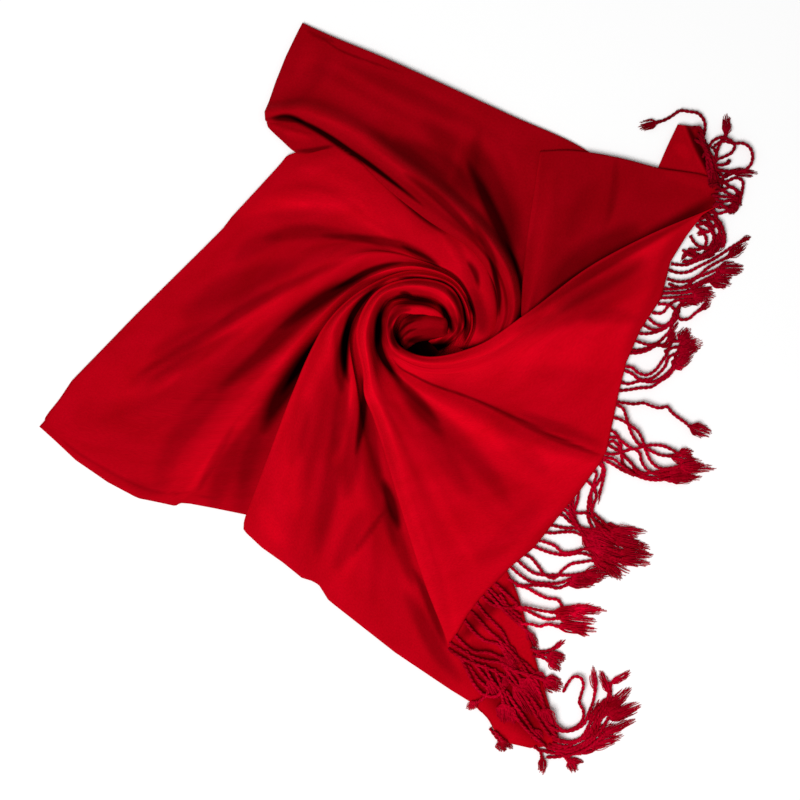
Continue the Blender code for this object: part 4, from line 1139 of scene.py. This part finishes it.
def add_bundle(bundle, under, hem, seed, material):
    chance = random.Random(FRINGE_SEED + seed)
    curve = bpy.data.curves.new(bundle.node, "CURVE")
    curve.dimensions = "3D"
    curve.bevel_depth = MM
    curve.bevel_resolution = 1
    curve.use_fill_caps = True
    for cord in cords_of(bundle):
        route = lay_cord(cord, under, hem, chance)
        add_twisted_cord(curve, route, chance)
        if cord.tip:
            heading = route[-1, :2] - route[-4, :2]
            heading /= max(np.hypot(*heading), 1e-6)
            foot = height_at(under, *cord.tip) + STRAND_RADIUS
            add_knot(curve, route[-1], heading, foot)
            add_tassel(curve, route[-1], cord, foot, chance)
    drawn = bpy.data.objects.new(bundle.node, curve)
    bpy.context.scene.collection.objects.link(drawn)
    bpy.context.view_layer.update()
    shaped = drawn.evaluated_get(bpy.context.evaluated_depsgraph_get())
    mesh = bpy.data.meshes.new_from_object(shaped)
    bpy.data.objects.remove(drawn)
    mesh.name = bundle.node + "_cords"
    return link_piece(mesh.name, mesh, material)


# Layers underneath, floor, camera and light

def draw_on(bm, ring, place_of):
    """Extrude a ring of edges to new places, each found from its old one."""
    drawn = bmesh.ops.extrude_edge_only(bm, edges=ring)["geom"]
    for vertex in drawn:
        if isinstance(vertex, bmesh.types.BMVert):
            vertex.co = place_of(vertex.co)
    return [edge for edge in drawn if isinstance(edge, bmesh.types.BMEdge) and edge.is_boundary]


def add_hidden_layers():
    """The layers underneath: flat below, with rounded cloth edges one above the other."""
    heart = on_board(*HEART)
    outline = places(HIDDEN_OUTLINE)
    steps = np.linspace(0, len(outline), len(outline) * OUTLINE_STEPS + 1)
    rim = read_curve(np.array(outline + outline[:1]), steps)[:-1]
    bm = bmesh.new()
    bmesh.ops.create_circle(bm, cap_ends=True, segments=len(rim), radius=1.0)
    bm.verts.ensure_lookup_table()
    for vertex, (x, y) in zip(bm.verts, rim):
        vertex.co = on_board(x, y)
    ring = bm.edges[:]
    for layer in range(HIDDEN_EDGES):
        foot = HIDDEN_FOOT + layer * HIDDEN_RISE
        for inwards, up in HIDDEN_PROFILE:
            ring = draw_on(bm, ring, lambda co: (
                co + Vector((heart.x - co.x, heart.y - co.y, 0)).normalized() * inwards * MM
                + Vector((0, 0, (foot + up) * MM - co.z))))
    for share in TOP_RINGS:
        ring = draw_on(bm, ring, lambda co: heart.lerp(co, share) + Vector((0, 0, co.z * (1 - share))))
    bmesh.ops.contextual_create(bm, geom=ring)
    bmesh.ops.recalc_face_normals(bm, faces=bm.faces[:])
    lit = bm.verts.layers.float.new("light_left")
    net = np.array([[(v.co.x / MM + MIDDLE_OF_OUTLINE[0], MIDDLE_OF_OUTLINE[1] - v.co.y / MM, 0)
                     for v in bm.verts]])
    for vertex, light in zip(bm.verts, light_left(net, HOLLOW_GAPS)[0]):
        vertex[lit] = light
    return new_piece("hidden_layers_satin", bm, red_satin("red satin twill, hidden layers", tone=0.9))


def add_floor():
    paper, tree, shader = new_material("pale matt paper")
    set_up(tree, shader, {"Base Color": srgb("#FFFFFF"), "Roughness": 0.9})
    bm = bmesh.new()
    bmesh.ops.create_grid(bm, x_segments=1, y_segments=1, size=FLOOR_REACH)
    bmesh.ops.translate(bm, verts=bm.verts[:], vec=(0, 0, -FLOOR_DROP))
    new_piece("floor", bm, paper)


def add_camera():
    """A camera straight above the board; the outline's middle is 1 mm off the picture's."""
    camera = bpy.data.objects.new("camera", bpy.data.cameras.new("camera"))
    bpy.context.scene.collection.objects.link(camera)
    camera.data.lens = LENS
    camera.data.sensor_width = SENSOR
    camera.location = (MM, 0, PICTURE / SENSOR * LENS)
    camera.data.clip_end = 50
    bpy.context.scene.camera = camera


def add_light(name, place, size, power):
    """A soft square lamp that faces the stole."""
    lamp = bpy.data.lights.new(name, "AREA")
    lamp.size = size
    lamp.energy = power
    light = bpy.data.objects.new(name, lamp)
    light.location = place
    light.rotation_euler = (-Vector(place)).to_track_quat("-Z", "Y").to_euler()
    bpy.context.scene.collection.objects.link(light)


def add_studio():
    add_light("key", place=(-2.6, -2.8, 6.8), size=5.0, power=620)
    world = bpy.data.worlds.new("studio")
    bpy.context.scene.world = world
    world.use_nodes = True
    background = world.node_tree.nodes["Background"]
    set_up(world.node_tree, background, {"Color": (1, 1, 1, 1), "Strength": 0.25})
    bpy.context.scene.view_settings.view_transform = "Standard"


def stand_for(piece, node):
    """Say which solid a piece takes the place of: hang it under the root and hide that solid."""
    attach(piece, "root")
    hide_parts(node)


add_camera()
add_studio()
add_floor()

sheets = {}
for seed, stretch in enumerate(STRETCHES):
    sheets[stretch.node] = add_stretch(stretch, seed)
    stand_for(sheets[stretch.node], stretch.node)
stand_for(add_hidden_layers(), "hidden_layers")

bpy.context.view_layer.update()
shapes = bpy.context.evaluated_depsgraph_get()
trees = {node: BVHTree.FromObject(piece, shapes) for node, piece in sheets.items()}
hem = [trees[node] for node in ("front_stretch", "turned_corner", "upper_right_stretch")]
under = [trees[node] for node in ("lower_stretch", "turned_corner", "upper_right_stretch")]
# lit and shaded copies of the yarn, one for each bundle's tone: painted light and shade
yarns = {tone: crimson_yarn(f"crimson two-ply yarn, tone {tone}", tone)
         for tone in sorted({bundle.tone for bundle in BUNDLES})}
fringe = []
for seed, bundle in enumerate(BUNDLES):
    fringe.append(add_bundle(bundle, under, hem, seed, yarns[bundle.tone]))
    stand_for(fringe[-1], bundle.node)
for stretch in STRETCHES:
    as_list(stretch.rests_on)
